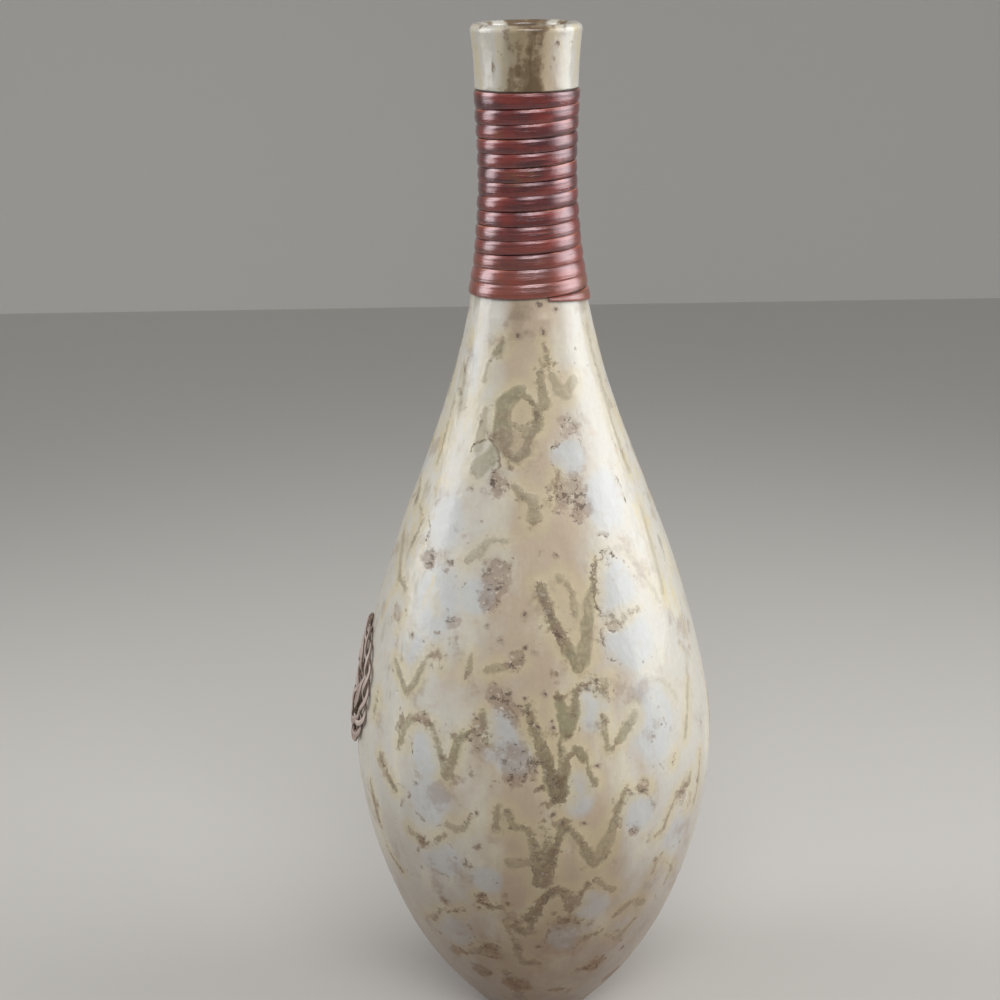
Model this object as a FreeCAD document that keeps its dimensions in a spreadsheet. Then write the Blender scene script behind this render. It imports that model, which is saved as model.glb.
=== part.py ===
import FreeCAD, Part
import math
import os
import Sketcher

# A bottle vase: one hollow stoneware body, a cane strip wound round its neck, and a medallion
# of knotted cane strands laid on one side of its belly.
# Millimetres, +Z up. The origin is the middle of the foot, and the medallion faces -X.

Vector = FreeCAD.Vector

BODY_SIZES = [
    ("total_height", 450, "foot to lip"),
    ("foot_radius", 26, "outside of the foot ring"),
    ("belly_radius", 80.6, "widest part of the belly"),
    ("neck_radius", 19.6, "narrowest part of the neck, under the cane"),
    ("collar_height", 26.3, "bare collar above the cane"),
    ("collar_ledge_width", 0.8, "how far the collar's bottom edge stands out from the neck"),
    ("collar_flare", 2.1, "how far the lip stands out from the collar's bottom edge"),
    ("lip_wall", 6.7, "wall at the lip"),
    ("wall_thickness", 5, "belly and neck wall"),
    ("floor_thickness", 9, "foot plane to the inside floor"),
    ("foot_ring_width", 5, "flat resting ring"),
    ("foot_recess_depth", 3, "hollow under the foot"),
    ("lip_round", 2.4, "round of the lip's two edges"),
    ("foot_round", 1, "round of the foot ring's two edges"),
    ("collar_edge_round", 0.5, "round of the collar's bottom edge"),
    ("cut_overrun", 2, "how far a cutting profile passes the solid"),
]

# The points of the outline from foot to neck top, and the size that each one's radius follows.
OUTLINE_POINTS = [
    ("foot", "foot_radius"),
    ("heel", "belly_radius"),
    ("lower_belly", "belly_radius"),
    ("belly", "belly_radius"),
    ("upper_belly", "belly_radius"),
    ("shoulder", "belly_radius"),
    ("taper", "belly_radius"),
    ("throat", "belly_radius"),
    ("neck_root", "neck_radius"),
    ("lower_neck", "neck_radius"),
    ("upper_neck", "neck_radius"),
    ("neck_top", "neck_radius"),
]

# Their heights are shares of the height up to the collar, and their radii of the sizes above.
OUTLINE_SHARES = [
    ("foot_height_share", 0, "outline height at the foot"),
    ("foot_radius_share", 1, "outline radius at the foot"),
    ("heel_height_share", 0.0567, "outline height at the heel"),
    ("heel_radius_share", 0.6274, "outline radius at the heel"),
    ("lower_belly_height_share", 0.17, "outline height at the lower belly"),
    ("lower_belly_radius_share", 0.9043, "outline radius at the lower belly"),
    ("belly_height_share", 0.3021, "outline height at the belly"),
    ("belly_radius_share", 1.0405, "outline radius at the belly"),
    ("upper_belly_height_share", 0.4201, "outline height at the upper belly"),
    ("upper_belly_radius_share", 0.9327, "outline radius at the upper belly"),
    ("shoulder_height_share", 0.5287, "outline height at the shoulder"),
    ("shoulder_radius_share", 0.7643, "outline radius at the shoulder"),
    ("taper_height_share", 0.6184, "outline height at the taper"),
    ("taper_radius_share", 0.5776, "outline radius at the taper"),
    ("throat_height_share", 0.708, "outline height at the throat"),
    ("throat_radius_share", 0.4075, "outline radius at the throat"),
    ("neck_root_height_share", 0.7907, "outline height at the neck root"),
    ("neck_root_radius_share", 1.2587, "outline radius at the neck root"),
    ("lower_neck_height_share", 0.8685, "outline height at the lower neck"),
    ("lower_neck_radius_share", 0.997, "outline radius at the lower neck"),
    ("upper_neck_height_share", 0.9393, "outline height at the upper neck"),
    ("upper_neck_radius_share", 0.9745, "outline radius at the upper neck"),
    ("neck_top_height_share", 1, "outline height at the neck top"),
    ("neck_top_radius_share", 1.071, "outline radius at the neck top"),
]

CURVE_SHARES = [
    ("collar_bend_height_share", 0.55, "height of the collar's bend in the collar"),
    ("collar_bend_flare_share", 0.08, "part of the collar's flare reached at the bend"),
    ("heel_lift_share", 0.5, "part of the wall by which the inside heel is raised"),
    ("largest_round_share", 0.9, "part of a wall that the rounds of its edges may take"),
]

WRAP_SIZES = [
    ("strip_width", 5.5, "cane strip, along the neck"),
    ("strip_thickness", 1.4, "cane strip at its crown"),
    ("strip_edge", 0.5, "cane strip at its two edges"),
    ("turn_gap", 0.5, "between a turn and the next"),
    ("wrap_length", 90.1, "lowest edge of the first turn to the level top edge"),
    ("wrap_top_clearance", 0.3, "last turn to the collar"),
    ("wrap_seat_clearance", 0.2, "strip to the neck"),
    ("wrap_start_angle", -72, "degrees, where the first turn begins"),
    ("tail_angle", 65, "degrees, the slanting cut of the lower end"),
    ("tail_tip_share", 0.2, "part of the strip's width left at the tip of the lower end"),
    ("wrap_tail_turns", 0.6, "turns after the level top edge is reached"),
]

MEDALLION_SIZES = [
    ("medallion_height", 160, "middle of the medallion above the foot"),
    ("medallion_angle", 180, "degrees, the side that carries it"),
    ("medallion_radius", 28.5, "outside of its ring"),
    ("strand_diameter", 1.4, "cane strand"),
    ("weave_gap", 0.45, "between strands that cross"),
    ("medallion_seat_gap", 0.25, "lowest strand to the glaze"),
    ("ring_swing", 2.6, "how far a ring strand swings to each side"),
    ("ring_crossing_pitch", 9.9, "from one crossing of the ring to the next"),
    ("knot_inner_share", 0.42, "radius of the knot's middle hole over its outer radius"),
    ("knot_rise_share", 1.15, "swing of the knot's strands over that of the ring's"),
    ("knot_crest_share", 0.35, "part of the swing over which a knot strand changes sides"),
    ("knot_bight_count", 5, "outer loops of the knot"),
    ("knot_lap_count", 3, "laps of the knot"),
    ("strand_end_gap", 0.8, "between the two ends of one strand"),
]

# Steps and counts of the geometry, which are not sizes of the vase.
SAMPLE_STEP_SHARE = 0.0001
BISECTIONS = 40
RING_WAVE_POINTS = 8
KNOT_WAVE_POINTS = 16
GAP_POINTS = 90
EDGE_MATCH_SHARE = 0.0004
SUBPART_KINDS = ("PartDesign::Body", "Part::Feature")

doc = FreeCAD.newDocument("bottle_vase")
sheet = doc.addObject("Spreadsheet::Sheet", "Dimensions")


def fill_sheet():
    """One row for each value: what it is, then the value under its alias."""
    rows = BODY_SIZES + OUTLINE_SHARES + CURVE_SHARES + WRAP_SIZES + MEDALLION_SIZES
    for number, (name, value, note) in enumerate(rows, 1):
        sheet.set("A%d" % number, note)
        sheet.set("B%d" % number, str(value))
        sheet.setAlias("B%d" % number, name)
    doc.recompute()


def size(name):
    return float(sheet.get(name))


def cell(name):
    return "<<Dimensions>>." + name


NECK_TOP = "(%s - %s)" % (cell("total_height"), cell("collar_height"))
NECK_TOP_RADIUS = "%s * %s" % (cell("neck_radius"), cell("neck_top_radius_share"))
COLLAR_ROOT = "(%s + %s)" % (NECK_TOP_RADIUS, cell("collar_ledge_width"))
RIM = "(%s + %s)" % (COLLAR_ROOT, cell("collar_flare"))
MOUTH = "(%s - %s)" % (RIM, cell("lip_wall"))


def neck_top_height():
    return size("total_height") - size("collar_height")


def collar_root_radius():
    return size("neck_radius") * size("neck_top_radius_share") + size("collar_ledge_width")


def rim_radius():
    return collar_root_radius() + size("collar_flare")


def mouth_radius():
    return rim_radius() - size("lip_wall")


def body_plane(body, role):
    """The origin plane of a body, found by its role."""
    return [plane for plane in body.Origin.OriginFeatures if plane.Role == role][0]


def new_profile(body, name):
    """A sketch on the body's upright plane: across is the radius, up is the height."""
    sketch = body.newObject("Sketcher::SketchObject", name)
    sketch.AttachmentSupport = (body_plane(body, "XZ_Plane"), [""])
    sketch.MapMode = "FlatFace"
    return sketch


def fix_point(sketch, geometry, position, name, radius, height, radius_rule, height_rule):
    """Ties a sketch point to the two rules. A point on the axis or the foot plane lies on it."""
    if radius_rule:
        index = sketch.addConstraint(
            Sketcher.Constraint("DistanceX", -1, 1, geometry, position, radius)
        )
        sketch.renameConstraint(index, name + "_across")
        sketch.setExpression("Constraints." + name + "_across", radius_rule)
    else:
        sketch.addConstraint(Sketcher.Constraint("PointOnObject", geometry, position, -2))
    if height_rule:
        index = sketch.addConstraint(
            Sketcher.Constraint("DistanceY", -1, 1, geometry, position, height)
        )
        sketch.renameConstraint(index, name + "_up")
        sketch.setExpression("Constraints." + name + "_up", height_rule)
    else:
        sketch.addConstraint(Sketcher.Constraint("PointOnObject", geometry, position, -1))


def add_spline(sketch, points, degree):
    """A clamped spline whose poles are the named points, each tied to its rules."""
    curve = Part.BSplineCurve()
    curve.buildFromPoles([Vector(p[1], p[2], 0) for p in points], False, degree)
    spline = sketch.addGeometry(curve, False)
    sketch.exposeInternalGeometry(spline)
    for number, (name, radius, height, radius_rule, height_rule) in enumerate(points, 1):
        pole = spline + number
        fix_point(sketch, pole, 3, name, radius, height, radius_rule, height_rule)
    return spline


def add_lines(sketch, corners, first, last):
    """Straight edges through the corners, from the sketch point first to the sketch point last."""
    joined = first
    for start, end in zip(corners, corners[1:]):
        line = sketch.addGeometry(Part.LineSegment(Vector(*start, 0), Vector(*end, 0)), False)
        sketch.addConstraint(Sketcher.Constraint("Coincident", *joined, line, 1))
        joined = (line, 2)
    sketch.addConstraint(Sketcher.Constraint("Coincident", *joined, *last))


def outline_points(body_side):
    """The outline's poles from foot to neck top, on the outside or moved in by the wall."""
    wall = size("wall_thickness")
    points = []
    for name, follows in OUTLINE_POINTS:
        height = neck_top_height() * size(name + "_height_share")
        radius = size(follows) * size(name + "_radius_share")
        height_rule = "%s * %s" % (NECK_TOP, cell(name + "_height_share"))
        radius_rule = "%s * %s" % (cell(follows), cell(name + "_radius_share"))
        if body_side == "inside":
            if name == "foot":
                height, height_rule = size("floor_thickness"), cell("floor_thickness")
            else:
                radius -= wall
                radius_rule += " - " + cell("wall_thickness")
            if name == "heel":
                height += wall * size("heel_lift_share")
                height_rule += " + %s * %s" % (cell("wall_thickness"), cell("heel_lift_share"))
        elif name == "foot":
            height_rule = None
        points.append((body_side + "_" + name, radius, height, radius_rule, height_rule))
    return points


def collar_points():
    """The collar's outside, which flares to the lip."""
    bend_radius = collar_root_radius() + size("collar_flare") * size("collar_bend_flare_share")
    bend_height = neck_top_height() + size("collar_height") * size("collar_bend_height_share")
    bend_radius_rule = "%s + %s * %s" % (
        COLLAR_ROOT,
        cell("collar_flare"),
        cell("collar_bend_flare_share"),
    )
    bend_height_rule = "%s + %s * %s" % (
        NECK_TOP,
        cell("collar_height"),
        cell("collar_bend_height_share"),
    )
    return [
        ("collar_root", collar_root_radius(), neck_top_height(), COLLAR_ROOT, NECK_TOP),
        ("collar_bend", bend_radius, bend_height, bend_radius_rule, bend_height_rule),
        ("rim", rim_radius(), size("total_height"), RIM, cell("total_height")),
    ]


def outer_profile(body):
    """Foot, belly, neck, the step out to the collar, and the collar."""
    sketch = new_profile(body, "outer_profile")
    points = outline_points("outside")
    outside = add_spline(sketch, points, 3)
    collar = add_spline(sketch, collar_points(), 2)
    top = size("total_height")
    neck_top = (points[-1][1], points[-1][2])
    step_end = (collar_root_radius(), neck_top_height())
    rim = Vector(rim_radius(), top, 0)
    add_lines(sketch, [(0, 0), (size("foot_radius"), 0)], (-1, 1), (outside, 1))
    add_lines(sketch, [neck_top, step_end], (outside, 2), (collar, 1))
    lid = sketch.addGeometry(Part.LineSegment(rim, Vector(0, top, 0)), False)
    sketch.addConstraint(Sketcher.Constraint("Coincident", lid, 1, collar, 2))
    sketch.addConstraint(Sketcher.Constraint("PointOnObject", lid, 2, -2))
    sketch.addConstraint(Sketcher.Constraint("Horizontal", lid))
    add_lines(sketch, [(0, top), (0, 0)], (lid, 2), (-1, 1))
    return sketch, outside


def cavity_profile(body):
    """The inside: floor, belly, neck and mouth, past the lip."""
    sketch = new_profile(body, "cavity_profile")
    points = outline_points("inside")
    inside = add_spline(sketch, points, 3)
    floor, top = size("floor_thickness"), size("total_height")
    over = top + size("cut_overrun")
    mouth = mouth_radius()
    over_rule = "%s + %s" % (cell("total_height"), cell("cut_overrun"))
    start = (points[0][1], points[0][2])
    neck_top = (points[-1][1], points[-1][2])
    corners = [
        ("mouth", mouth, top, MOUTH, cell("total_height")),
        ("mouth_over", mouth, over, MOUTH, over_rule),
        ("axis_over", 0, over, None, over_rule),
        ("axis_floor", 0, floor, None, cell("floor_thickness")),
    ]
    places = [neck_top] + [(radius, height) for _, radius, height, _, _ in corners] + [start]
    first_line = sketch.GeometryCount
    add_lines(sketch, places, (inside, 2), (inside, 1))
    for number, (name, radius, height, radius_rule, height_rule) in enumerate(corners):
        line = first_line + number
        fix_point(sketch, line, 2, name, radius, height, radius_rule, height_rule)
    return sketch


def recess_profile(body):
    """The hollow inside the foot ring."""
    sketch = new_profile(body, "recess_profile")
    radius = size("foot_radius") - size("foot_ring_width")
    depth, under = size("foot_recess_depth"), -size("cut_overrun")
    radius_rule = "%s - %s" % (cell("foot_radius"), cell("foot_ring_width"))
    corners = [
        ("recess_wall_top", radius, depth, radius_rule, cell("foot_recess_depth")),
        ("recess_middle", 0, depth, None, cell("foot_recess_depth")),
    ]
    lines = [(radius, under), (radius, depth), (0, depth), (0, under), (radius, under)]
    for start, end in zip(lines, lines[1:]):
        sketch.addGeometry(Part.LineSegment(Vector(*start, 0), Vector(*end, 0)), False)
    for line in range(4):
        sketch.addConstraint(Sketcher.Constraint("Coincident", line, 2, (line + 1) % 4, 1))
    for line, (name, across, up, across_rule, up_rule) in enumerate(corners):
        fix_point(sketch, line, 2, name, across, up, across_rule, up_rule)
    sketch.addConstraint(Sketcher.Constraint("Vertical", 0))
    sketch.addConstraint(Sketcher.Constraint("Vertical", 2))
    sketch.addConstraint(Sketcher.Constraint("Horizontal", 3))
    index = sketch.addConstraint(Sketcher.Constraint("DistanceY", 0, 1, -1, 1, -under))
    sketch.renameConstraint(index, "recess_overrun")
    sketch.setExpression("Constraints.recess_overrun", cell("cut_overrun"))
    return sketch


def turn_profile(body, kind, name, sketch):
    """A revolution or groove of the sketch about the vase's axis."""
    feature = body.newObject(kind, name)
    feature.Profile = sketch
    feature.ReferenceAxis = (sketch, ["V_Axis"])
    feature.Angle = 360
    doc.recompute()
    return feature


def round_edges(body, base, name, places, radius_name, wall_name):
    """Rounds the base's level circles at the (radius, height) places, as their wall allows."""
    near = size("total_height") * EDGE_MATCH_SHARE
    edges = []
    for number, edge in enumerate(base.Shape.Edges, 1):
        if edge.Curve.TypeId != "Part::GeomCircle":
            continue
        radius, height = edge.Curve.Radius, edge.Curve.Center.z
        if any(math.hypot(radius - r, height - h) < near for r, h in places):
            edges.append("Edge%d" % number)
    assert len(edges) == len(places), name
    feature = body.newObject("PartDesign::Fillet", name)
    feature.Base = (base, edges)
    room = "%s * %s / %d" % (cell(wall_name), cell("largest_round_share"), len(places))
    feature.setExpression("Radius", "min(%s; %s)" % (cell(radius_name), room))
    doc.recompute()
    return feature


def make_vase_body():
    """The stoneware body. Returns the spline of its outside."""
    body = doc.addObject("PartDesign::Body", "vase_body")
    profile, spline = outer_profile(body)
    solid = turn_profile(body, "PartDesign::Revolution", "outer_form", profile)
    full = solid.Shape.Volume
    hollow = turn_profile(body, "PartDesign::Groove", "cavity", cavity_profile(body))
    recessed = turn_profile(body, "PartDesign::Groove", "foot_recess", recess_profile(body))
    assert hollow.Shape.Volume < full and recessed.Shape.Volume < hollow.Shape.Volume
    top, foot = size("total_height"), size("foot_radius")
    lip = [(rim_radius(), top), (mouth_radius(), top)]
    ring = [(foot, 0), (foot - size("foot_ring_width"), 0)]
    collar = [(collar_root_radius(), neck_top_height())]
    rounded = round_edges(body, recessed, "lip_edges", lip, "lip_round", "lip_wall")
    rounded = round_edges(body, rounded, "foot_edges", ring, "foot_round", "foot_ring_width")
    ledge = ("collar_edge_round", "collar_ledge_width")
    rounded = round_edges(body, rounded, "collar_edge", collar, *ledge)
    body.Tip = rounded
    return profile.Geometry[spline]


def surface(outline, height):
    """The body's outside at a height: its radius, and its radial and upward normal parts."""
    low, high = outline.FirstParameter, outline.LastParameter
    for _ in range(BISECTIONS):
        middle = (low + high) / 2
        if outline.value(middle).y < height:
            low = middle
        else:
            high = middle
    point, (along,) = outline.value(low), outline.tangent(low)
    return point.x, along.y, -along.x


def unit_tangent(route, place):
    """The direction of a route, a function from a place to a point, at a place."""
    return (route(place + SAMPLE_STEP_SHARE) - route(place - SAMPLE_STEP_SHARE)).normalize()


def tangent_arc(start, direction, end):
    """The arc from start, in that direction, to end."""
    chord = end - start
    along = Vector(chord).normalize()
    lean = direction - along * direction.dot(along)
    half_turn = direction.getAngle(chord)
    middle = (start + end) * 0.5 + lean.normalize() * (chord.Length / 2 * math.tan(half_turn / 2))
    return Part.Arc(start, middle, end).toShape()


def biarc(start, start_way, end, end_way):
    """Two arcs that meet in one tangent and join both ends in their directions."""
    gap, ways = end - start, start_way + end_way
    square = 2 * (1 - start_way.dot(end_way))
    linear = 2 * gap.dot(ways)
    reach = (math.sqrt(linear**2 + 4 * square * gap.dot(gap)) - linear) / (2 * square)
    before, after = start + start_way * reach, end - end_way * reach
    joint = (before + after) * 0.5
    joint_way = (after - before).normalize()
    return [tangent_arc(start, start_way, joint), tangent_arc(joint, joint_way, end)]


def arc_path(route, places, straight):
    """A wire of biarcs along a route through the places, with a straight run at each end."""
    ways = [unit_tangent(route, place) for place in places]
    points = [route(place) for place in places]
    edges = [Part.LineSegment(points[0] - ways[0] * straight, points[0]).toShape()]
    for number in range(len(places) - 1):
        edges += biarc(points[number], ways[number], points[number + 1], ways[number + 1])
    edges.append(Part.LineSegment(points[-1], points[-1] + ways[-1] * straight).toShape())
    return Part.Wire(edges)


def path_frame(path, upward):
    """The start of a path: its point, its direction, and two directions square to it."""
    point = path.Edges[0].Vertexes[0].Point
    way = path.Edges[0].tangentAt(path.Edges[0].FirstParameter)
    side = way.cross(upward).normalize()
    return point, way, side, side.cross(way).normalize()


def wrap_top_height():
    return neck_top_height() - size("wrap_top_clearance")


def wrap_bottom_height():
    return wrap_top_height() - size("wrap_length")


def wrap_route(outline):
    """The middle line of the strip: a place is a number of turns from the lower end."""
    width, pitch = size("strip_width"), size("strip_width") + size("turn_gap")
    stand_off = size("wrap_seat_clearance") + size("strip_thickness") / 2
    start_height = wrap_bottom_height() + width / 2
    start_angle = math.radians(size("wrap_start_angle"))

    def route(turns):
        height = start_height + pitch * turns
        edges = (height - width / 2, min(height + width / 2, neck_top_height()))
        radius = max(surface(outline, edge)[0] for edge in edges) + stand_off
        angle = start_angle + math.tau * turns
        return Vector(radius * math.cos(angle), radius * math.sin(angle), height)

    return route


def strip_section(path):
    """The half-oval section of the strip, its flat side to the neck."""
    point, way, side, up = path_frame(path, Vector(0, 0, 1))
    half_width, half_thickness = size("strip_width") / 2, size("strip_thickness") / 2
    edge = size("strip_edge") - half_thickness

    def at(outward, upward):
        return point + side * outward + up * upward

    low_back, high_back = at(-half_thickness, -half_width), at(-half_thickness, half_width)
    low_edge, high_edge = at(edge, -half_width), at(edge, half_width)
    lines = [(low_edge, low_back), (low_back, high_back), (high_back, high_edge)]
    edges = [Part.LineSegment(a, b).toShape() for a, b in lines]
    edges.append(Part.Arc(high_edge, at(half_thickness, 0), low_edge).toShape())
    return Part.Wire(edges)


def least_turn_gap(route, turns):
    """The least distance between a turn's upper edges and the next turn's lower edges."""
    half_width, half_thickness = size("strip_width") / 2, size("strip_thickness") / 2
    least = size("total_height")
    steps = int((turns - 1) * GAP_POINTS)
    for step in range(steps):
        below, above = route(step / GAP_POINTS), route(step / GAP_POINTS + 1)
        for low_side in (-half_thickness, half_thickness):
            for high_side in (-half_thickness, half_thickness):
                outward = Vector(below.x, below.y, 0).normalize()
                low_point = below + outward * low_side + Vector(0, 0, half_width)
                high_point = above + outward * high_side - Vector(0, 0, half_width)
                least = min(least, low_point.distanceToPoint(high_point))
    return least


def level_cut():
    """A block whose underside is the level top edge of the last turn."""
    reach = size("belly_radius")
    corner = Vector(-reach, -reach, wrap_top_height())
    return Part.makeBox(2 * reach, 2 * reach, reach, corner)


def tail_cut(route):
    """A block whose top face slants across the lower end, from its tip to its full width."""
    width = size("strip_width")
    turns = size("tail_angle") / math.degrees(math.tau)
    tip = route(0) + Vector(0, 0, width / 2 - width * size("tail_tip_share"))
    full = route(turns) - Vector(0, 0, width / 2)
    along = (full - tip).normalize()
    outward = route(turns / 2)
    outward = Vector(outward.x, outward.y, 0).normalize()
    down = along.cross(outward).normalize()
    if down.z > 0:
        down = down * -1
    reach = tip.distanceToPoint(full)
    block = Part.makeBox(2 * reach, 2 * reach, 2 * width, Vector(-reach, -reach, 0))
    turn = FreeCAD.Rotation(along, down.cross(along), down, "ZXY")
    block.Placement = FreeCAD.Placement(full - along * reach, turn)
    return block


def make_neck_wrap(outline):
    """One cane strip wound up the neck: a slanting lower end, a last turn cut level."""
    route = wrap_route(outline)
    pitch = size("strip_width") + size("turn_gap")
    level_turns = (size("wrap_length") - size("strip_width")) / pitch
    half_turns = int(2 * (level_turns + size("wrap_tail_turns")))
    places = [number / 2 for number in range(half_turns + 1)]
    path = arc_path(route, places, size("strip_thickness"))
    section = strip_section(path)
    shell = Part.BRepOffsetAPI.MakePipeShell(path)
    # The strip lies flat on the neck all the way, so its section keeps its upright side.
    shell.setBiNormalMode(Vector(0, 0, 1))
    shell.add(section)
    shell.build()
    shell.makeSolid()
    strip = shell.shape()
    full = Part.Face(section).Area * path.Length
    feature = doc.addObject("Part::Feature", "neck_wrap")
    feature.Shape = strip.cut([level_cut(), tail_cut(route)]).Solids[0]
    gap = least_turn_gap(route, half_turns / 2)
    print("neck_wrap: %.1f turns, least gap to itself %.2f mm" % (half_turns / 2, gap))
    print("  volume %.4f of section times length" % (strip.Volume / full))


def on_belly(outline, across, up, above):
    """A point over the belly: across and up from the medallion's middle, above the glaze."""
    height = size("medallion_height") + up
    radius, outward, upward = surface(outline, height)
    angle = math.radians(size("medallion_angle")) + across / radius
    radial = Vector(math.cos(angle), math.sin(angle), 0)
    foot = radial * radius + Vector(0, 0, height)
    return foot + (radial * outward + Vector(0, 0, upward)) * above


def ring_middle_radius():
    return size("medallion_radius") - size("strand_diameter") / 2 - size("ring_swing")


def ring_waves():
    """Whole waves of each ring strand, two crossings to a wave."""
    return round(math.pi * ring_middle_radius() / size("ring_crossing_pitch"))


def ring_route(outline, phase):
    """One strand of the outer ring: a place is an angle in turns about the medallion."""
    strand, swing = size("strand_diameter"), size("ring_swing")
    rise = (strand + size("weave_gap")) / 2
    middle, waves = ring_middle_radius(), ring_waves()
    base = size("medallion_seat_gap") + strand / 2 + rise

    def route(turns):
        wave = math.tau * waves * turns + phase
        radius = middle + swing * math.cos(wave)
        angle = math.tau * turns
        above = base + rise * math.sin(wave)
        return on_belly(outline, radius * math.sin(angle), radius * math.cos(angle), above)

    return route


def knot_route(outline, side):
    """One of the knot's two side-by-side strands: a place is a number of laps."""
    strand, gap = size("strand_diameter"), size("weave_gap")
    ring_inside = ring_middle_radius() - size("ring_swing") - strand / 2
    outer = ring_inside - gap - (strand + gap) / 2 - strand / 2
    inner = outer * size("knot_inner_share")
    waves = size("knot_bight_count") / size("knot_lap_count")
    crest = size("knot_crest_share")
    rise = (strand + gap) / 2 * size("knot_rise_share")
    base = size("medallion_seat_gap") + strand / 2 + rise
    offset = side * (strand + gap) / 2

    def flat(laps):
        wave = math.tau * waves * laps
        radius = (outer + inner) / 2 + (outer - inner) / 2 * math.cos(wave)
        return Vector(radius * math.sin(math.tau * laps), radius * math.cos(math.tau * laps), 0)

    def route(laps):
        way = unit_tangent(flat, laps)
        place = flat(laps) + Vector(way.y, -way.x, 0) * offset
        wave = math.sin(2 * math.tau * waves * laps)
        # Broad crests, so that a pair of strands clears the pair that it crosses.
        wave *= math.hypot(1, crest) / math.hypot(wave, crest)
        return on_belly(outline, place.x, place.y, base + rise * wave)

    return route


def least_strand_gap(route, laps, waves):
    """The least distance between parts of one strand that are not next to each other."""
    strand = size("strand_diameter")
    count = int(GAP_POINTS * waves)
    points = [route(laps * number / count) for number in range(count + 1)]
    step = points[0].distanceToPoint(points[1])
    apart = int(4 * strand / step)
    least = size("total_height")
    for number, point in enumerate(points):
        for other in range(number + apart, min(len(points), count + number - apart)):
            least = min(least, point.distanceToPoint(points[other]))
    return least - strand


def make_strand(name, route, laps, waves, wave_points, first_place):
    """A round cane strand along a route, open by a small gap between its two ends."""
    strand = size("strand_diameter")
    speed = (route(first_place + SAMPLE_STEP_SHARE) - route(first_place)).Length
    speed /= SAMPLE_STEP_SHARE
    open_laps = (size("strand_end_gap") / 2 + strand) / speed
    start, end = first_place + open_laps, first_place + laps - open_laps
    count = int(wave_points * waves)
    places = [start + (end - start) * number / count for number in range(count + 1)]
    path = arc_path(route, places, strand)
    point, way, _, _ = path_frame(path, Vector(0, 0, 1))
    circle = Part.Wire([Part.Circle(point, way, strand / 2).toShape()])
    shell = Part.BRepOffsetAPI.MakePipeShell(path)
    shell.add(circle)
    shell.build()
    shell.makeSolid()
    feature = doc.addObject("Part::Feature", name)
    feature.Shape = shell.shape()
    full = math.pi * strand**2 / 4 * path.Length
    gap = least_strand_gap(route, laps, waves)
    print("%s: least gap to itself %.2f mm" % (name, gap))
    print("  volume %.4f of section times length" % (feature.Shape.Volume / full))


def make_medallion(outline):
    """Two ring strands that wind round each other, and a knot of two strands inside them."""
    waves = ring_waves()
    for name, phase in (("medallion_ring_strand_a", 0), ("medallion_ring_strand_b", math.pi)):
        # A wave passes low at three quarters of its length.
        low_crossing = (math.tau * 3 / 4 - phase) / (math.tau * waves)
        route = ring_route(outline, phase)
        make_strand(name, route, 1, waves, RING_WAVE_POINTS, low_crossing)
    leads, bights = size("knot_lap_count"), size("knot_bight_count")
    for name, side in (("medallion_knot_strand_a", 1), ("medallion_knot_strand_b", -1)):
        # A lap holds bights / leads waves, and a wave passes low at five sixths of its length.
        low_crossing = leads / bights * 5 / 6
        route = knot_route(outline, side)
        make_strand(name, route, leads, bights, KNOT_WAVE_POINTS, low_crossing)


def write_parts():
    """Checks every object, then writes one file for each sub-part."""
    doc.recompute()
    for item in doc.Objects:
        assert "Invalid" not in item.State and "Error" not in item.State, item.Name
    subparts = [item for item in doc.Objects if item.TypeId in SUBPART_KINDS]
    for item in subparts:
        item.Label = item.Name
        assert not item.Shape.isNull() and item.Shape.isValid(), item.Label
        assert len(item.Shape.Solids) == 1, item.Label
    os.makedirs("parts", exist_ok=True)
    for item in subparts:
        item.Shape.exportStep("parts/%s.step" % item.Label)
        print("%s: %.0f mm3" % (item.Label, item.Shape.Volume))


fill_sheet()
body_outline = make_vase_body()
make_neck_wrap(body_outline)
make_medallion(body_outline)
write_parts()
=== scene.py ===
import math

import bpy
import numpy as np
from mathutils import Matrix, Vector


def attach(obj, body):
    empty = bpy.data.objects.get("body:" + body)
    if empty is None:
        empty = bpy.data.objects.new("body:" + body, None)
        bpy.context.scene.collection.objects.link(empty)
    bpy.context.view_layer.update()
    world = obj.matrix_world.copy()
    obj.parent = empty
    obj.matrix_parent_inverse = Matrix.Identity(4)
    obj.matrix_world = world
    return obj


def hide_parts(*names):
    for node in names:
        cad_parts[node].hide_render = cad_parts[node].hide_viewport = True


# A drip-glazed bottle vase with a cane strip wound round its neck and a knotted cane medallion
# on one side of its belly. Metres, +Z up, the foot's middle at the origin, seen along +Y.

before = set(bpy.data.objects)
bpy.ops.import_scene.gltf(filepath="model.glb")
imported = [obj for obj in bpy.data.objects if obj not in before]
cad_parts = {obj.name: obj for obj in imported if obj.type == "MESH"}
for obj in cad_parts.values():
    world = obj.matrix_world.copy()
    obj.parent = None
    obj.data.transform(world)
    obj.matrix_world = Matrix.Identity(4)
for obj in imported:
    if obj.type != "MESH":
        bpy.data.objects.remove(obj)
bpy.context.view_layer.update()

MM = 0.001
RANDOM = np.random.default_rng(11)

# Sizes of the body, the same as in the solids.
TOTAL_HEIGHT = 0.45
FOOT_RADIUS = 0.026
BELLY_RADIUS = 0.0806
NECK_RADIUS = 0.0196
COLLAR_HEIGHT = 0.0263
COLLAR_LEDGE = 0.0008
COLLAR_FLARE = 0.0021
LIP_WALL = 0.0067
WALL = 0.005
FLOOR = 0.009
FOOT_RING = 0.005
FOOT_RECESS = 0.003
LIP_ROUND = 0.0024
FOOT_ROUND = 0.001
LEDGE_ROUND = 0.0005
NECK_TOP = TOTAL_HEIGHT - COLLAR_HEIGHT

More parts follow.
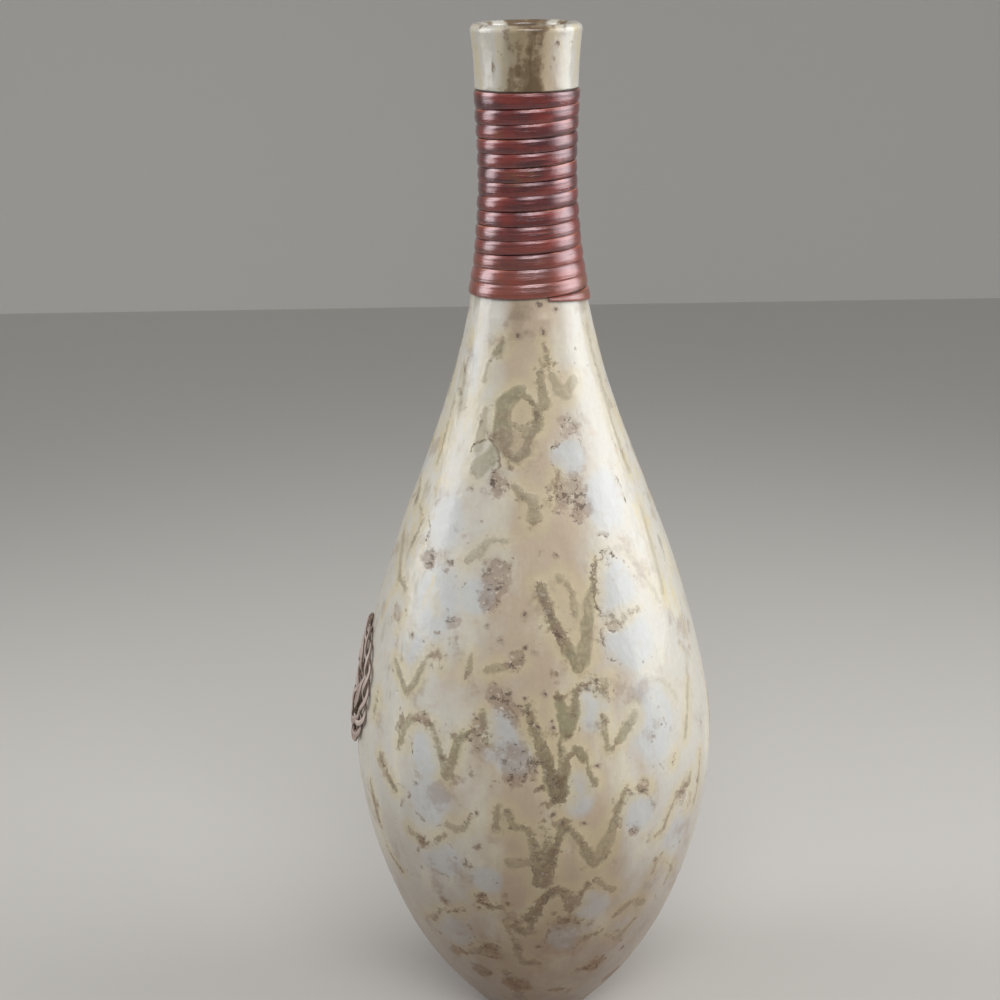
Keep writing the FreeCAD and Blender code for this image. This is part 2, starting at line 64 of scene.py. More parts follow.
# Outline points: a share of the height up to the collar, the size that the radius follows, and
# the radius as a share of it.
OUTLINE_SHARES = [
    (0, FOOT_RADIUS, 1),
    (0.0567, BELLY_RADIUS, 0.6274),
    (0.17, BELLY_RADIUS, 0.9043),
    (0.3021, BELLY_RADIUS, 1.0405),
    (0.4201, BELLY_RADIUS, 0.9327),
    (0.5287, BELLY_RADIUS, 0.7643),
    (0.6184, BELLY_RADIUS, 0.5776),
    (0.708, BELLY_RADIUS, 0.4075),
    (0.7907, NECK_RADIUS, 1.2587),
    (0.8685, NECK_RADIUS, 0.997),
    (0.9393, NECK_RADIUS, 0.9745),
    (1, NECK_RADIUS, 1.071),
]
COLLAR_BEND_HEIGHT_SHARE = 0.55
COLLAR_BEND_FLARE_SHARE = 0.08
HEEL_LIFT_SHARE = 0.5
OUTLINE_POINTS = 2001
COLLAR_POINTS = 201

# The camera, fitted to the photograph's outline and ellipses.
CAMERA_PLACE = (-0.01376, -0.8484, 0.5065)
CAMERA_PITCH = 17.228
CAMERA_ROLL = -0.905
LENS = 72
SENSOR = 36
IMAGE_SIDE = 1000
# The depths from the camera between which a ray is searched for the vase, and the steps.
SEARCHED_DEPTHS = (0.72, 1.02, 1501)
PIXEL_STEP = 2


def spline(poles, degree, count):
    """Points along a clamped uniform B-spline."""
    poles = np.array(poles, float)
    spans = len(poles) - degree
    knots = np.concatenate([np.zeros(degree), np.linspace(0, 1, spans + 1), np.ones(degree)])
    places = np.linspace(0, 1, count)
    found = np.clip(np.searchsorted(knots, places, "right") - 1, degree, len(poles) - 1)
    points = np.stack([poles[found - degree + k] for k in range(degree + 1)], 1)
    for level in range(1, degree + 1):
        for k in range(degree, level - 1, -1):
            low = knots[found - degree + k]
            high = knots[found + 1 + k - level]
            share = ((places - low) / np.maximum(high - low, 1e-12))[:, None]
            points[:, k] = (1 - share) * points[:, k - 1] + share * points[:, k]
    return points[:, degree]


def outline_poles(moved_in):
    poles = []
    for number, (height_share, follows, radius_share) in enumerate(OUTLINE_SHARES):
        radius, height = follows * radius_share, NECK_TOP * height_share
        if moved_in and number == 0:
            height = FLOOR
        elif moved_in:
            radius -= WALL
            height += WALL * HEEL_LIFT_SHARE if number == 1 else 0
        poles.append((radius, height))
    return poles


OUTSIDE = spline(outline_poles(False), 3, OUTLINE_POINTS)
INSIDE = spline(outline_poles(True), 3, OUTLINE_POINTS)
COLLAR_ROOT = OUTSIDE[-1, 0] + COLLAR_LEDGE
RIM = COLLAR_ROOT + COLLAR_FLARE
COLLAR = spline(
    [
        (COLLAR_ROOT, NECK_TOP),
        (
            COLLAR_ROOT + COLLAR_FLARE * COLLAR_BEND_FLARE_SHARE,
            NECK_TOP + COLLAR_HEIGHT * COLLAR_BEND_HEIGHT_SHARE,
        ),
        (RIM, TOTAL_HEIGHT),
    ],
    2,
    COLLAR_POINTS,
)


def radius_at(height):
    """Outside radius of the belly and neck, and of the collar above it."""
    whole = np.concatenate([OUTSIDE, COLLAR])
    return np.interp(height, whole[:, 1], whole[:, 0])


def slope_at(height):
    """The outward and upward parts of the outside's normal at a height."""
    step = 0.5 * MM
    run = (radius_at(height + step) - radius_at(height - step)) / (2 * step)
    length = np.hypot(1, run)
    return 1 / length, -run / length


def out_of_body(angle, height):
    """The way straight out of the outside."""
    outward, upward = slope_at(height)
    return np.stack([outward * np.cos(angle), outward * np.sin(angle), upward], -1)


def on_body(angle, height, above=0.0):
    """Points over the outside, for angles in radians about the axis and heights."""
    radius = radius_at(height)
    flat = np.stack([radius * np.cos(angle), radius * np.sin(angle), height], -1)
    return flat + out_of_body(angle, height) * np.asarray(above)[..., None]


def camera_axes():
    """Right, up and forward of the camera."""
    pitch, roll = math.radians(CAMERA_PITCH), math.radians(CAMERA_ROLL)
    forward = np.array([0, math.cos(pitch), -math.sin(pitch)])
    flat_up = np.array([0, math.sin(pitch), math.cos(pitch)])
    flat_right = np.array([1.0, 0, 0])
    right = flat_right * math.cos(roll) + flat_up * math.sin(roll)
    up = flat_up * math.cos(roll) - flat_right * math.sin(roll)
    return right, up, forward


def seen_at(pixels):
    """The angle and height on the body behind each pixel (x, y) of the 1000 x 1000 photograph."""
    pixels = np.array(pixels, float)
    right, up, forward = camera_axes()
    focal = LENS / SENSOR * IMAGE_SIDE
    across = (pixels[:, 0] - IMAGE_SIDE / 2) / focal
    above = (IMAGE_SIDE / 2 - pixels[:, 1]) / focal
    ways = forward + across[:, None] * right + above[:, None] * up
    depths = np.linspace(*SEARCHED_DEPTHS)
    points = np.array(CAMERA_PLACE) + ways[:, None] * depths[:, None]
    outside = np.hypot(points[..., 0], points[..., 1]) - radius_at(points[..., 2])
    first = np.argmax(outside < 0, 1)
    missed = outside.min(1) >= 0
    first[missed] = np.argmin(outside[missed], 1)
    hit = points[np.arange(len(points)), first]
    return np.arctan2(hit[:, 1], hit[:, 0]), hit[:, 2]


# Building meshes

def new_object(name, data):
    made = bpy.data.objects.new(name, data)
    bpy.context.scene.collection.objects.link(made)
    return made


def new_piece(name, points, faces, slot, *nodes):
    """A smooth mesh piece that stands for the CAD nodes."""
    mesh = bpy.data.meshes.new(name)
    mesh.from_pydata([tuple(p) for p in points], [], faces)
    mesh.validate()
    for polygon in mesh.polygons:
        polygon.use_smooth = True
    piece = new_object(name, mesh)
    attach(piece, "root")
    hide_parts(*nodes)
    return piece


def store(piece, name, values):
    """A number at each vertex, which the material reads by its name."""
    attribute = piece.data.attributes.new(name, "FLOAT", "POINT")
    attribute.data.foreach_set("value", np.asarray(values, np.float32))


def resampled(points, step):
    """The polyline with even steps along it."""
    points = np.array(points, float)
    lengths = np.concatenate([[0], np.cumsum(np.linalg.norm(np.diff(points, axis=0), axis=1))])
    places = np.linspace(0, lengths[-1], max(2, round(lengths[-1] / step) + 1))
    return np.stack([np.interp(places, lengths, points[:, k]) for k in range(points.shape[1])], 1)


def rounded_corner(before, corner, after, radius, steps=6):
    """An arc at the corner between two straight runs, from points on them."""
    corner = np.array(corner, float)
    back = np.array(before, float) - corner
    ahead = np.array(after, float) - corner
    back /= np.linalg.norm(back)
    ahead /= np.linalg.norm(ahead)
    half = math.acos(np.clip(back @ ahead, -1, 1)) / 2
    start, end = corner + back * radius / math.tan(half), corner + ahead * radius / math.tan(half)
    centre = corner + (back + ahead) / np.linalg.norm(back + ahead) * radius / math.sin(half)
    middle = centre + (corner - centre) / np.linalg.norm(corner - centre) * radius
    arc = []
    for place in np.linspace(-1, 1, steps + 1):
        side = start if place < 0 else end
        way = (middle - centre) * (1 - abs(place)) + (side - centre) * abs(place)
        arc.append(centre + way / np.linalg.norm(way) * radius)
    return np.array(arc)


FINE_STEP = 1.7 * MM
COLLAR_STEP = 1.3 * MM
COARSE_STEP = 9 * MM
COLUMNS = 300
# Where the wrap hides the body, so that its mesh may be coarse.
WRAP_BOTTOM = 0.331
# The point along an outline that shows the way it takes from its end, and the room that an
# arc at the end needs.
ALONG = 20
ARC_ROOM = 0.3 * MM
LEDGE_ARC_POINTS = 8
MOUTH_ARC_POINTS = 3


def body_profile():
    """The closed outline of the body, as (radius, height), from under the foot to the floor."""
    ring_inside = (FOOT_RADIUS - FOOT_RING, 0)
    recess_corner = (FOOT_RADIUS - FOOT_RING, FOOT_RECESS)
    foot = (FOOT_RADIUS, 0)
    mouth = (RIM - LIP_WALL, TOTAL_HEIGHT)
    rim = (RIM, TOTAL_HEIGHT)
    shown = OUTSIDE[OUTSIDE[:, 1] < WRAP_BOTTOM]
    hidden = OUTSIDE[OUTSIDE[:, 1] >= WRAP_BOTTOM]
    foot_arc = rounded_corner(ring_inside, foot, OUTSIDE[ALONG], FOOT_ROUND)
    lip_arc = rounded_corner(COLLAR[-ALONG], rim, mouth, LIP_ROUND)
    below_arc = COLLAR[:, 1] < lip_arc[0, 1] - ARC_ROOM
    parts = [
        [(0, FOOT_RECESS), recess_corner],
        rounded_corner(recess_corner, ring_inside, foot, FOOT_ROUND),
        foot_arc,
        resampled(shown[shown[:, 1] > foot_arc[-1, 1] + ARC_ROOM], FINE_STEP),
        resampled(hidden, COARSE_STEP),
        rounded_corner(OUTSIDE[-1], (COLLAR_ROOT, NECK_TOP), COLLAR[ALONG], LEDGE_ROUND),
        resampled(COLLAR[below_arc][LEDGE_ARC_POINTS:], COLLAR_STEP),
        lip_arc,
        rounded_corner(rim, mouth, INSIDE[-1], LIP_ROUND),
        resampled([mouth, INSIDE[-1]], COLLAR_STEP)[MOUTH_ARC_POINTS:],
        resampled(INSIDE[::-1], COARSE_STEP)[1:],
        [(0, FLOOR)],
    ]
    return np.concatenate([np.array(part, float) for part in parts])


def turned(profile, columns):
    """The points and faces of a profile turned about the axis. Its two ends lie on the axis."""
    rows = profile[1:-1]
    angles = np.arange(columns) * math.tau / columns
    points = np.stack(
        [
            np.outer(rows[:, 0], np.cos(angles)),
            np.outer(rows[:, 0], np.sin(angles)),
            np.repeat(rows[:, 1:], columns, 1),
        ],
        -1,
    ).reshape(-1, 3)
    points = np.concatenate([points, [(0, 0, profile[0, 1]), (0, 0, profile[-1, 1])]])
    low_pole, high_pole = len(points) - 2, len(points) - 1
    last_row = (len(rows) - 1) * columns
    faces = []
    for column in range(columns):
        beside = (column + 1) % columns
        faces.append((low_pole, beside, column))
        for row in range(0, last_row, columns):
            below, above = row, row + columns
            faces.append((below + column, below + beside, above + beside, above + column))
        faces.append((last_row + column, last_row + beside, high_pole))
    return points, faces


# Glaze runs for the side that the photograph shows: width in millimetres, tone from
# 0, grey-green, to 1, brown, strength, and pixels that the run passes.
RING_AND_STREAKS = [
    (8, 0.1, 0.9, [(519, 393), (506, 400), (502, 418), (502, 438)]),
    (3.6, 0.4, 0.9, [(519, 393), (529, 398), (538, 410), (537, 424), (530, 434)]),
    (3, 0.3, 1, [(503, 440), (507, 454), (516, 458), (525, 452), (531, 436)]),
    (1.4, 0.7, 0.7, [(513, 424), (520, 428), (528, 426)]),
    (7, 0, 0.6, [(500, 440), (491, 456), (478, 468)]),
    (2.4, 0.4, 0.8, [(503, 338), (500, 347), (495, 353)]),
    (1.8, 0.1, 0.5, [(495, 353), (488, 362), (484, 380)]),
    (1.1, 0.9, 0.8, [(545, 345), (547, 355), (549, 366), (552, 373)]),
    (4.4, 0.5, 0.7, [(541, 372), (539, 380), (543, 390), (544, 404)]),
    (5, 0, 0.6, [(553, 376), (558, 388), (567, 393), (573, 380)]),
]
SHOULDER = [
    (1.2, 0.7, 0.5, [(586, 327), (592, 350), (602, 388), (613, 409)]),
    (5, 0, 0.5, [(466, 370), (465, 390), (463, 406)]),
    (5, 0, 0.5, [(485, 410), (482, 430), (478, 446)]),
    (4, 0.2, 0.6, [(421, 477), (420, 488), (417, 500)]),
    (2.4, 0.1, 0.5, [(600, 385), (606, 402), (612, 425), (620, 450), (628, 470)]),
    (3.2, 0, 0.4, [(640, 505), (648, 535), (656, 565), (662, 590)]),
    (1.6, 0.4, 0.6, [(455, 402), (449, 422), (443, 448), (438, 462)]),
]
ABOVE_BIG_V = [
    (4.4, 0.45, 0.7, [(514, 486), (521, 494), (533, 500), (535, 520)]),
    (1, 0.9, 0.8, [(558, 472), (557, 484), (549, 500)]),
    (3.4, 0.45, 0.45, [(467, 560), (480, 551), (491, 540), (507, 541)]),
    (2.6, 0.3, 0.7, [(404, 532), (401, 560), (400, 578), (406, 588)]),
    (1.6, 0.5, 0.7, [(420, 505), (424, 520), (412, 545)]),
]
BIG_V = [
    (4.6, 0.6, 0.95, [(539, 584), (544, 598), (551, 616), (558, 634), (566, 646)]),
    (4.4, 0.2, 1, [(564, 643), (572, 656), (578, 667), (586, 654)]),
    (5, 0.1, 0.9, [(584, 658), (587, 636), (588, 614), (592, 591)]),
    (1.8, 0.8, 0.9, [(592, 593), (594, 576), (596, 560)]),
    (2.8, 0.5, 0.8, [(557, 577), (560, 580)]),
    (2.4, 0.35, 0.7, [(566, 582), (572, 590), (573, 604), (575, 614)]),
]
BESIDE_BIG_V = [
    (1.8, 0.2, 0.35, [(601, 551), (624, 546), (634, 562), (648, 582), (660, 602)]),
    (1.1, 0.7, 0.7, [(607, 624), (618, 620), (634, 610)]),
    (2.6, 0.3, 0.9, [(396, 660), (401, 676), (406, 691), (415, 683), (423, 663)]),
    (1.6, 0.5, 0.7, [(423, 663), (430, 655), (438, 651), (440, 667)]),
    (2.4, 0.4, 0.7, [(471, 655), (470, 668), (466, 676)]),
    (2.2, 0.6, 0.7, [(486, 669), (500, 668), (512, 664), (522, 663)]),
]
LEFT_M = [
    (3.6, 0.3, 0.75, [(401, 742), (404, 726), (411, 716)]),
    (3.2, 0.8, 0.9, [(409, 718), (421, 719), (431, 725)]),
    (2.8, 0.4, 0.75, [(431, 724), (437, 740), (442, 757), (446, 774)]),
    (4, 0.4, 0.85, [(446, 775), (452, 762), (456, 745), (463, 735), (474, 730)]),
    (2.2, 0.6, 0.8, [(483, 712), (484, 726), (485, 741)]),
]
LONG_DRIP = [
    (3.2, 0.7, 0.95, [(529, 706), (531, 719), (535, 733), (541, 747)]),
    (6.6, 0.45, 1, [(541, 745), (547, 760), (551, 774), (556, 788), (560, 795)]),
    (3, 0.4, 0.95, [(561, 795), (565, 784), (564, 768), (561, 752), (559, 741)]),
    (4.4, 0.45, 0.9, [(565, 772), (568, 757), (577, 748), (584, 759)]),
    (2.6, 0.4, 0.9, [(584, 758), (590, 772), (595, 784)]),
    (5.6, 0.2, 0.9, [(561, 703), (563, 716), (567, 731), (572, 718), (576, 704)]),
    (2.8, 0.6, 0.9, [(576, 706), (575, 694), (580, 686)]),
    (2.6, 0.9, 0.85, [(580, 686), (591, 683), (598, 689), (605, 690)]),
    (2.4, 0.3, 0.7, [(605, 680), (605, 694)]),
]
RIGHT_OF_DRIP = [
    (2.6, 0.3, 0.85, [(604, 716), (605, 732), (607, 745), (612, 749), (618, 741)]),
    (4, 0.2, 0.75, [(618, 741), (624, 731), (630, 726), (635, 713)]),
    (1.6, 0.2, 0.3, [(644, 675), (657, 678), (670, 686), (676, 698)]),
    (1.6, 0.3, 0.7, [(687, 684), (687, 710), (685, 737)]),
    (1.2, 0.8, 0.9, [(675, 753), (673, 762)]),
    (1.2, 0.5, 0.8, [(700, 752), (699, 770), (697, 788), (694, 800)]),
    (1.4, 0.5, 0.8, [(690, 776), (690, 795), (687, 806)]),
]
DRIP_W = [
    (2.8, 0.6, 0.9, [(507, 811), (513, 826), (527, 828), (534, 842), (538, 857)]),
    (7, 0.6, 1, [(538, 855), (541, 868), (543, 880), (549, 862), (553, 852)]),
    (3.6, 0.55, 0.95, [(552, 853), (560, 838), (562, 823)]),
    (2.4, 0.5, 0.8, [(542, 827), (547, 834), (547, 848)]),
    (3.6, 0.4, 0.95, [(562, 832), (568, 827), (579, 838), (587, 851), (594, 862)]),
    (4.6, 0.3, 1, [(587, 851), (594, 862), (602, 853)]),
    (5.2, 0.25, 0.9, [(600, 856), (606, 844), (611, 834), (615, 818)]),
    (2.8, 0.45, 0.9, [(615, 818), (618, 806), (622, 795), (626, 787)]),
    (1.8, 0.9, 0.9, [(625, 788), (632, 792), (640, 787), (647, 787)]),
]
RIGHT_OF_W = [
    (1.8, 0.4, 0.8, [(655, 836), (663, 829), (669, 812), (677, 795)]),
    (3.2, 0.5, 0.8, [(677, 796), (683, 786), (688, 784)]),
    (1.6, 0.4, 0.8, [(653, 871), (657, 861), (662, 856), (668, 864), (672, 870)]),
]
UNDER_W = [
    (5, 0.85, 1, [(532, 918), (538, 908), (544, 898), (553, 891)]),
    (4.6, 0.75, 0.95, [(553, 891), (562, 890), (568, 895), (570, 907)]),
    (2.6, 0.6, 0.9, [(570, 907), (577, 903), (583, 890), (590, 883), (598, 879)]),
    (2.6, 0.5, 0.8, [(598, 880), (605, 887), (613, 889)]),
    (3.4, 0.7, 0.9, [(532, 918), (532, 930), (524, 932), (514, 926)]),
    (3, 0.5, 0.85, [(616, 914), (624, 907), (632, 901), (643, 902)]),
    (1.4, 0.8, 0.8, [(552, 914), (566, 921), (582, 923)]),
]
NEAR_FOOT = [
    (2, 0.5, 0.9, [(586, 938), (594, 934), (602, 930)]),
    (1.2, 0.5, 0.8, [(606, 935), (617, 938), (625, 930), (635, 917)]),
    (1.8, 0.8, 0.9, [(427, 914), (433, 919), (441, 910), (453, 912), (463, 909)]),
    (2.2, 0.9, 0.9, [(477, 896), (482, 904), (491, 906), (500, 906)]),
    (2.2, 0.6, 0.9, [(505, 925), (513, 937), (519, 953), (524, 964), (535, 962)]),
    (2.6, 0.8, 0.9, [(471, 952), (481, 949), (489, 944), (500, 947)]),
    (2, 0.9, 0.8, [(458, 947), (466, 953)]),
    (4.4, 0.8, 0.9, [(505, 971), (510, 979), (518, 990), (522, 1002)]),
    (1.8, 0.8, 0.8, [(547, 991), (560, 989), (570, 990)]),
    (2.2, 0.8, 0.85, [(577, 970), (586, 967), (596, 963)]),
]
LEFT_OF_W = [
    (1.8, 0.9, 0.8, [(409, 829), (417, 836), (425, 843), (438, 838), (446, 834)]),
    (2.2, 0.7, 0.7, [(448, 824), (455, 829), (466, 827), (468, 818)]),
    (4.4, 0.7, 0.6, [(507, 862), (518, 864), (530, 862)]),
    (2.6, 0.7, 0.8, [(497, 806), (497, 818), (495, 828)]),
    (2.6, 0.7, 0.9, [(381, 757), (387, 772), (396, 790)]),
    (3.6, 0.6, 0.8, [(371, 783), (374, 800), (379, 820)]),
    (1.8, 0.8, 0.9, [(387, 846), (393, 858), (402, 871)]),
    (1.4, 0.9, 0.9, [(378, 694), (377, 702), (374, 714)]),
]
FRONT_RUNS = sum(
    [
        RING_AND_STREAKS, SHOULDER, ABOVE_BIG_V, BIG_V, BESIDE_BIG_V, LEFT_M, LONG_DRIP,
        RIGHT_OF_DRIP, DRIP_W, RIGHT_OF_W, UNDER_W, NEAR_FOOT, LEFT_OF_W,
    ],
    [],
)

# Craters: the pixel of the middle, radius in millimetres, and strength.
FRONT_CRATERS = [
    (501, 486, 5.5, 0.9), (570, 428, 4, 0.6), (569, 492, 7.5, 0.8), (580, 508, 5, 0.8),
    (496, 578, 7, 0.8), (490, 598, 5.5, 0.8), (503, 570, 4, 0.9), (556, 634, 3.6, 0.9),
    (453, 622, 3.4, 0.7), (456, 637, 2.4, 0.8), (428, 560, 4.5, 0.7), (396, 614, 3.6, 0.6),
    (611, 624, 2.8, 0.6), (518, 661, 2.8, 0.9), (436, 655, 3, 0.7), (423, 719, 3.4, 0.8),
    (477, 733, 5, 0.8), (480, 748, 4, 0.7), (501, 701, 4.4, 0.8), (511, 711, 4, 0.8),
    (517, 764, 7, 0.6), (531, 766, 4.6, 0.7), (516, 776, 4.4, 0.8), (497, 752, 3.4, 0.6),
    (458, 782, 1.8, 0.9), (587, 686, 3.8, 0.7), (632, 832, 3, 0.8), (645, 838, 3, 0.9),
    (619, 827, 1.4, 0.9), (640, 790, 2.4, 0.6), (683, 792, 4, 0.6), (425, 842, 2.6, 0.7),
    (385, 768, 4, 0.6), (374, 800, 5, 0.6), (568, 924, 6, 0.5), (446, 903, 1.8, 0.9),
    (481, 901, 3, 0.9), (508, 921, 4, 0.6), (492, 950, 4, 0.7), (460, 950, 3.4, 0.7),
    (595, 964, 3.4, 0.8), (610, 975, 5, 0.6), (516, 985, 6, 0.7), (480, 970, 3, 0.7),
    (556, 990, 4, 0.7), (541, 964, 2, 0.9),
]

# Single pits: pixel and radius in millimetres.
FRONT_PITS = [
    (505.6, 324.4, 1.1), (518, 335.5, 1.6), (526.6, 332, 0.9), (542.8, 331.7, 1.2),
    (545, 344.7, 0.9), (539, 305, 0.9), (555, 309.6, 0.8), (471, 488, 1.1), (556.8, 555, 1.1),
    (501.4, 640.7, 1.2), (526, 648, 0.9), (533.6, 652, 1), (524.6, 614, 1), (412, 635, 1.1),
    (488, 627, 1), (525.4, 698.7, 1.2), (536.5, 727, 0.9), (415.6, 783, 1.2), (477, 812.6, 1.1),
    (552.6, 815, 1.1), (584, 822.8, 1.5), (598, 766, 1.3), (546, 694, 1), (553, 728, 1.2),
    (552, 722, 1), (552.5, 780, 0.9), (539, 946.4, 1.6), (622, 948, 0.9), (602, 957, 0.8),
    (512, 778, 0.9), (540, 44.5, 1.2), (558, 43, 0.7), (620, 941, 0.8), (482, 896, 1),
    (508, 904, 1.6), (505, 896, 1.2),
]

# Pale blue-grey pools, partly the glaze's own pooling and partly painted reflection: the pixel of
# the middle, half width and half height in millimetres.
FRONT_POOLS_AND_SHEEN = [
    (570, 456, 9, 8), (484, 462, 8, 9), (446, 520, 11, 16), (606, 500, 11, 16), (436, 600, 13, 18),
    (616, 592, 12, 20), (630, 640, 14, 14), (478, 596, 9, 8), (427, 752, 10, 15), (414, 650, 8, 8),
    (500, 735, 10, 14), (592, 706, 8, 12), (650, 720, 15, 22), (580, 795, 8, 12),
    (638, 810, 10, 10), (430, 800, 14, 12), (675, 835, 9, 10), (515, 755, 10, 10),
    (440, 858, 12, 10), (590, 905, 10, 9), (566, 935, 12, 10), (455, 930, 12, 12),
    (630, 925, 8, 9), (487, 880, 8, 7), (445, 355, 5, 16), (470, 375, 5, 20),
]

# The side that isn't seen, in degrees, and the heights of its tiers of seeded runs.
BACK_START, BACK_END = -8, 188
BACK_TIERS = [0.306, 0.276, 0.245, 0.212, 0.182, 0.152, 0.122, 0.094, 0.068, 0.044, 0.022]
# Size and rate of the waves that a tier follows.
TIER_WAVES = [(0.007, 2.3), (0.004, 6)]
# Ranges in metres of how far a tier's corners lie above and below it and from each other.
PEAK_REACH, VALLEY_REACH, CORNER_STEP = (0.001, 0.012), (0.001, 0.02), (0.0045, 0.017)
LOWEST_CORNER = 0.004
CRATER_CHANCE, POOL_CHANCE, GAP_CHANCE = 0.6, 0.8, 0.2
POOL_DROP, LOWEST_POOL = 0.014, 0.003
# Ranges in millimetres of craters, pools and runs, and of their strengths and tones.
CRATER_RADIUS, CRATER_STRENGTH = (2, 6.5), (0.5, 0.95)
POOL_HALF_WIDTH, POOL_HALF_HEIGHT = (6, 11), (8, 15)
RUN_WIDTH, RUN_TONE, RUN_STRENGTH = (2.2, 6.2), (0.05, 0.85), (0.35, 1)
RUN_LENGTH_SHARE, RUN_BEND, RUN_POINTS = (0.75, 1), (1.2, 2.8), 24


# The glaze's marks as fields over the body, in millimetres from the marks' edges

FAR = 9.0
PLAIN_TONE = 0.4
# A run's half width as a share of the stated one, at its upper end, and what it gains downwards.
UPPER_WIDTH_SHARE, WIDTH_GAIN = 0.72, 0.5
SHORTEST_DROP = 4 * MM
POOL_FADE = (1.25, 0.9)
# Relief in millimetres, and the distances over which it fades.
RUN_RELIEF, RUN_FADE = 0.22, 2.4
CRATER_DEPTH, CRATER_ROUGHNESS, CRATER_FADE = 0.22, 0.07, 2.0
SURFACE_WAVE = 0.05
# The surface's waves, as waves round the axis and radians a metre upwards.
SURFACE_WAVES = [(5, 60), (9, -110)]
# The height over the foot, and the depth under the lip, where relief starts and is full.
FOOT_FADE, LIP_FADE = (1.5 * MM, 5.5 * MM), (0.5 * MM, 3.5 * MM)


def front_runs():
    """Points on the body, half width, tone and strength of each hand-placed run."""
    runs = []
    for width, tone, strength, pixels in FRONT_RUNS:
        path = on_body(*seen_at(resampled(pixels, PIXEL_STEP)))
        runs.append((path, width * MM / 2, tone, strength))
    return runs


def back_tiers():
    """Seeded tiers of zigzag runs with pools and craters for the side that isn't seen."""
    runs, craters, pools = [], [], []
    draw = RANDOM.uniform
    start, end = math.radians(BACK_START), math.radians(BACK_END)
    for tier_height in BACK_TIERS:
        radius = radius_at(tier_height)
        phases = draw(0, math.tau, len(TIER_WAVES))
        angle, corners = start + draw(0, 0.1), []
        while angle < end:
            waves = zip(TIER_WAVES, phases)
            drift = sum(size * math.sin(rate * angle + phase) for (size, rate), phase in waves)
            peak = len(corners) % 2 == 1
            reach = draw(*PEAK_REACH) if peak else -draw(*VALLEY_REACH)
            height = max(LOWEST_CORNER, tier_height + drift + reach)
            corners.append((angle, height))
            place = on_body(angle, height)
            if peak and RANDOM.random() < CRATER_CHANCE:
                craters.append((place, draw(*CRATER_RADIUS) * MM, draw(*CRATER_STRENGTH)))
            if peak and RANDOM.random() < POOL_CHANCE:
                middle = on_body(angle, max(LOWEST_POOL, height - POOL_DROP))
                pools.append((middle, draw(*POOL_HALF_WIDTH) * MM, draw(*POOL_HALF_HEIGHT) * MM))
            angle += draw(*CORNER_STEP) / radius
        for number in range(len(corners) - 1):
            if RANDOM.random() < GAP_CHANCE:
                continue
            low, peak = sorted(corners[number : number + 2], key=lambda corner: corner[1])
            share = np.linspace(0, draw(*RUN_LENGTH_SHARE), RUN_POINTS)
            drop = (peak[1] - low[1]) * share ** draw(*RUN_BEND)
            angles = peak[0] + (low[0] - peak[0]) * share
            width, tone = draw(*RUN_WIDTH), draw(*RUN_TONE)
            points = on_body(angles, peak[1] - drop)
            runs.append((points, width * MM / 2, tone, draw(*RUN_STRENGTH)))
    return runs, craters, pools


def run_field(points, runs):
    """Distance in millimetres to the nearest run's edge, and that run's tone and strength."""
    edge = np.full(len(points), FAR)
    tone = np.full(len(points), PLAIN_TONE)
    strength = np.zeros(len(points))
    for path, half_width, run_tone, run_strength in runs:
        middle = path.mean(0)
        reach = np.linalg.norm(path - middle, axis=1).max() + half_width + FAR * MM
        near = np.flatnonzero(np.linalg.norm(points - middle, axis=1) < reach)
        if not len(near):
            continue
        apart = np.linalg.norm(points[near][:, None] - path[None], axis=2)
        low_end = (path[:, 2].max() - path[:, 2]) / max(np.ptp(path[:, 2]), SHORTEST_DROP)
        widths = half_width * (UPPER_WIDTH_SHARE + WIDTH_GAIN * low_end)
        found = (apart - widths).min(1) / MM
        closer = found < edge[near]
        edge[near[closer]] = found[closer]
        tone[near[closer]] = run_tone
        strength[near[closer]] = run_strength
    return edge, tone, strength


def spot_field(points, spots):
    """Distance in millimetres to the nearest spot's edge, and that spot's strength."""
    edge = np.full(len(points), FAR)
    strength = np.zeros(len(points))
    for middle, radius, spot_strength in spots:
        found = (np.linalg.norm(points - middle, axis=1) - radius) / MM
        closer = found < edge
        edge[closer] = found[closer]
        strength[closer] = spot_strength
    return edge, strength


def pool_field(points, pools):
    """How far inside a pale pool each point lies, from 0 to 1. The pools in front are partly
    painted reflection.
    """
    inside = np.zeros(len(points))
    for middle, half_width, half_height in pools:
        gap = points - middle
        along = np.hypot(gap[:, 0], gap[:, 1]) / half_width
        up = gap[:, 2] / half_height
        depth = POOL_FADE[0] - np.hypot(along, up) * POOL_FADE[1]
        inside = np.maximum(inside, np.clip(depth, 0, 1))
    return inside


def on_pixels(rows):
    """The place on the body behind each row's pixel, and the rest of the row."""
    places = on_body(*seen_at([row[:2] for row in rows]))
    return [(place, row[2:]) for place, row in zip(places, rows)]


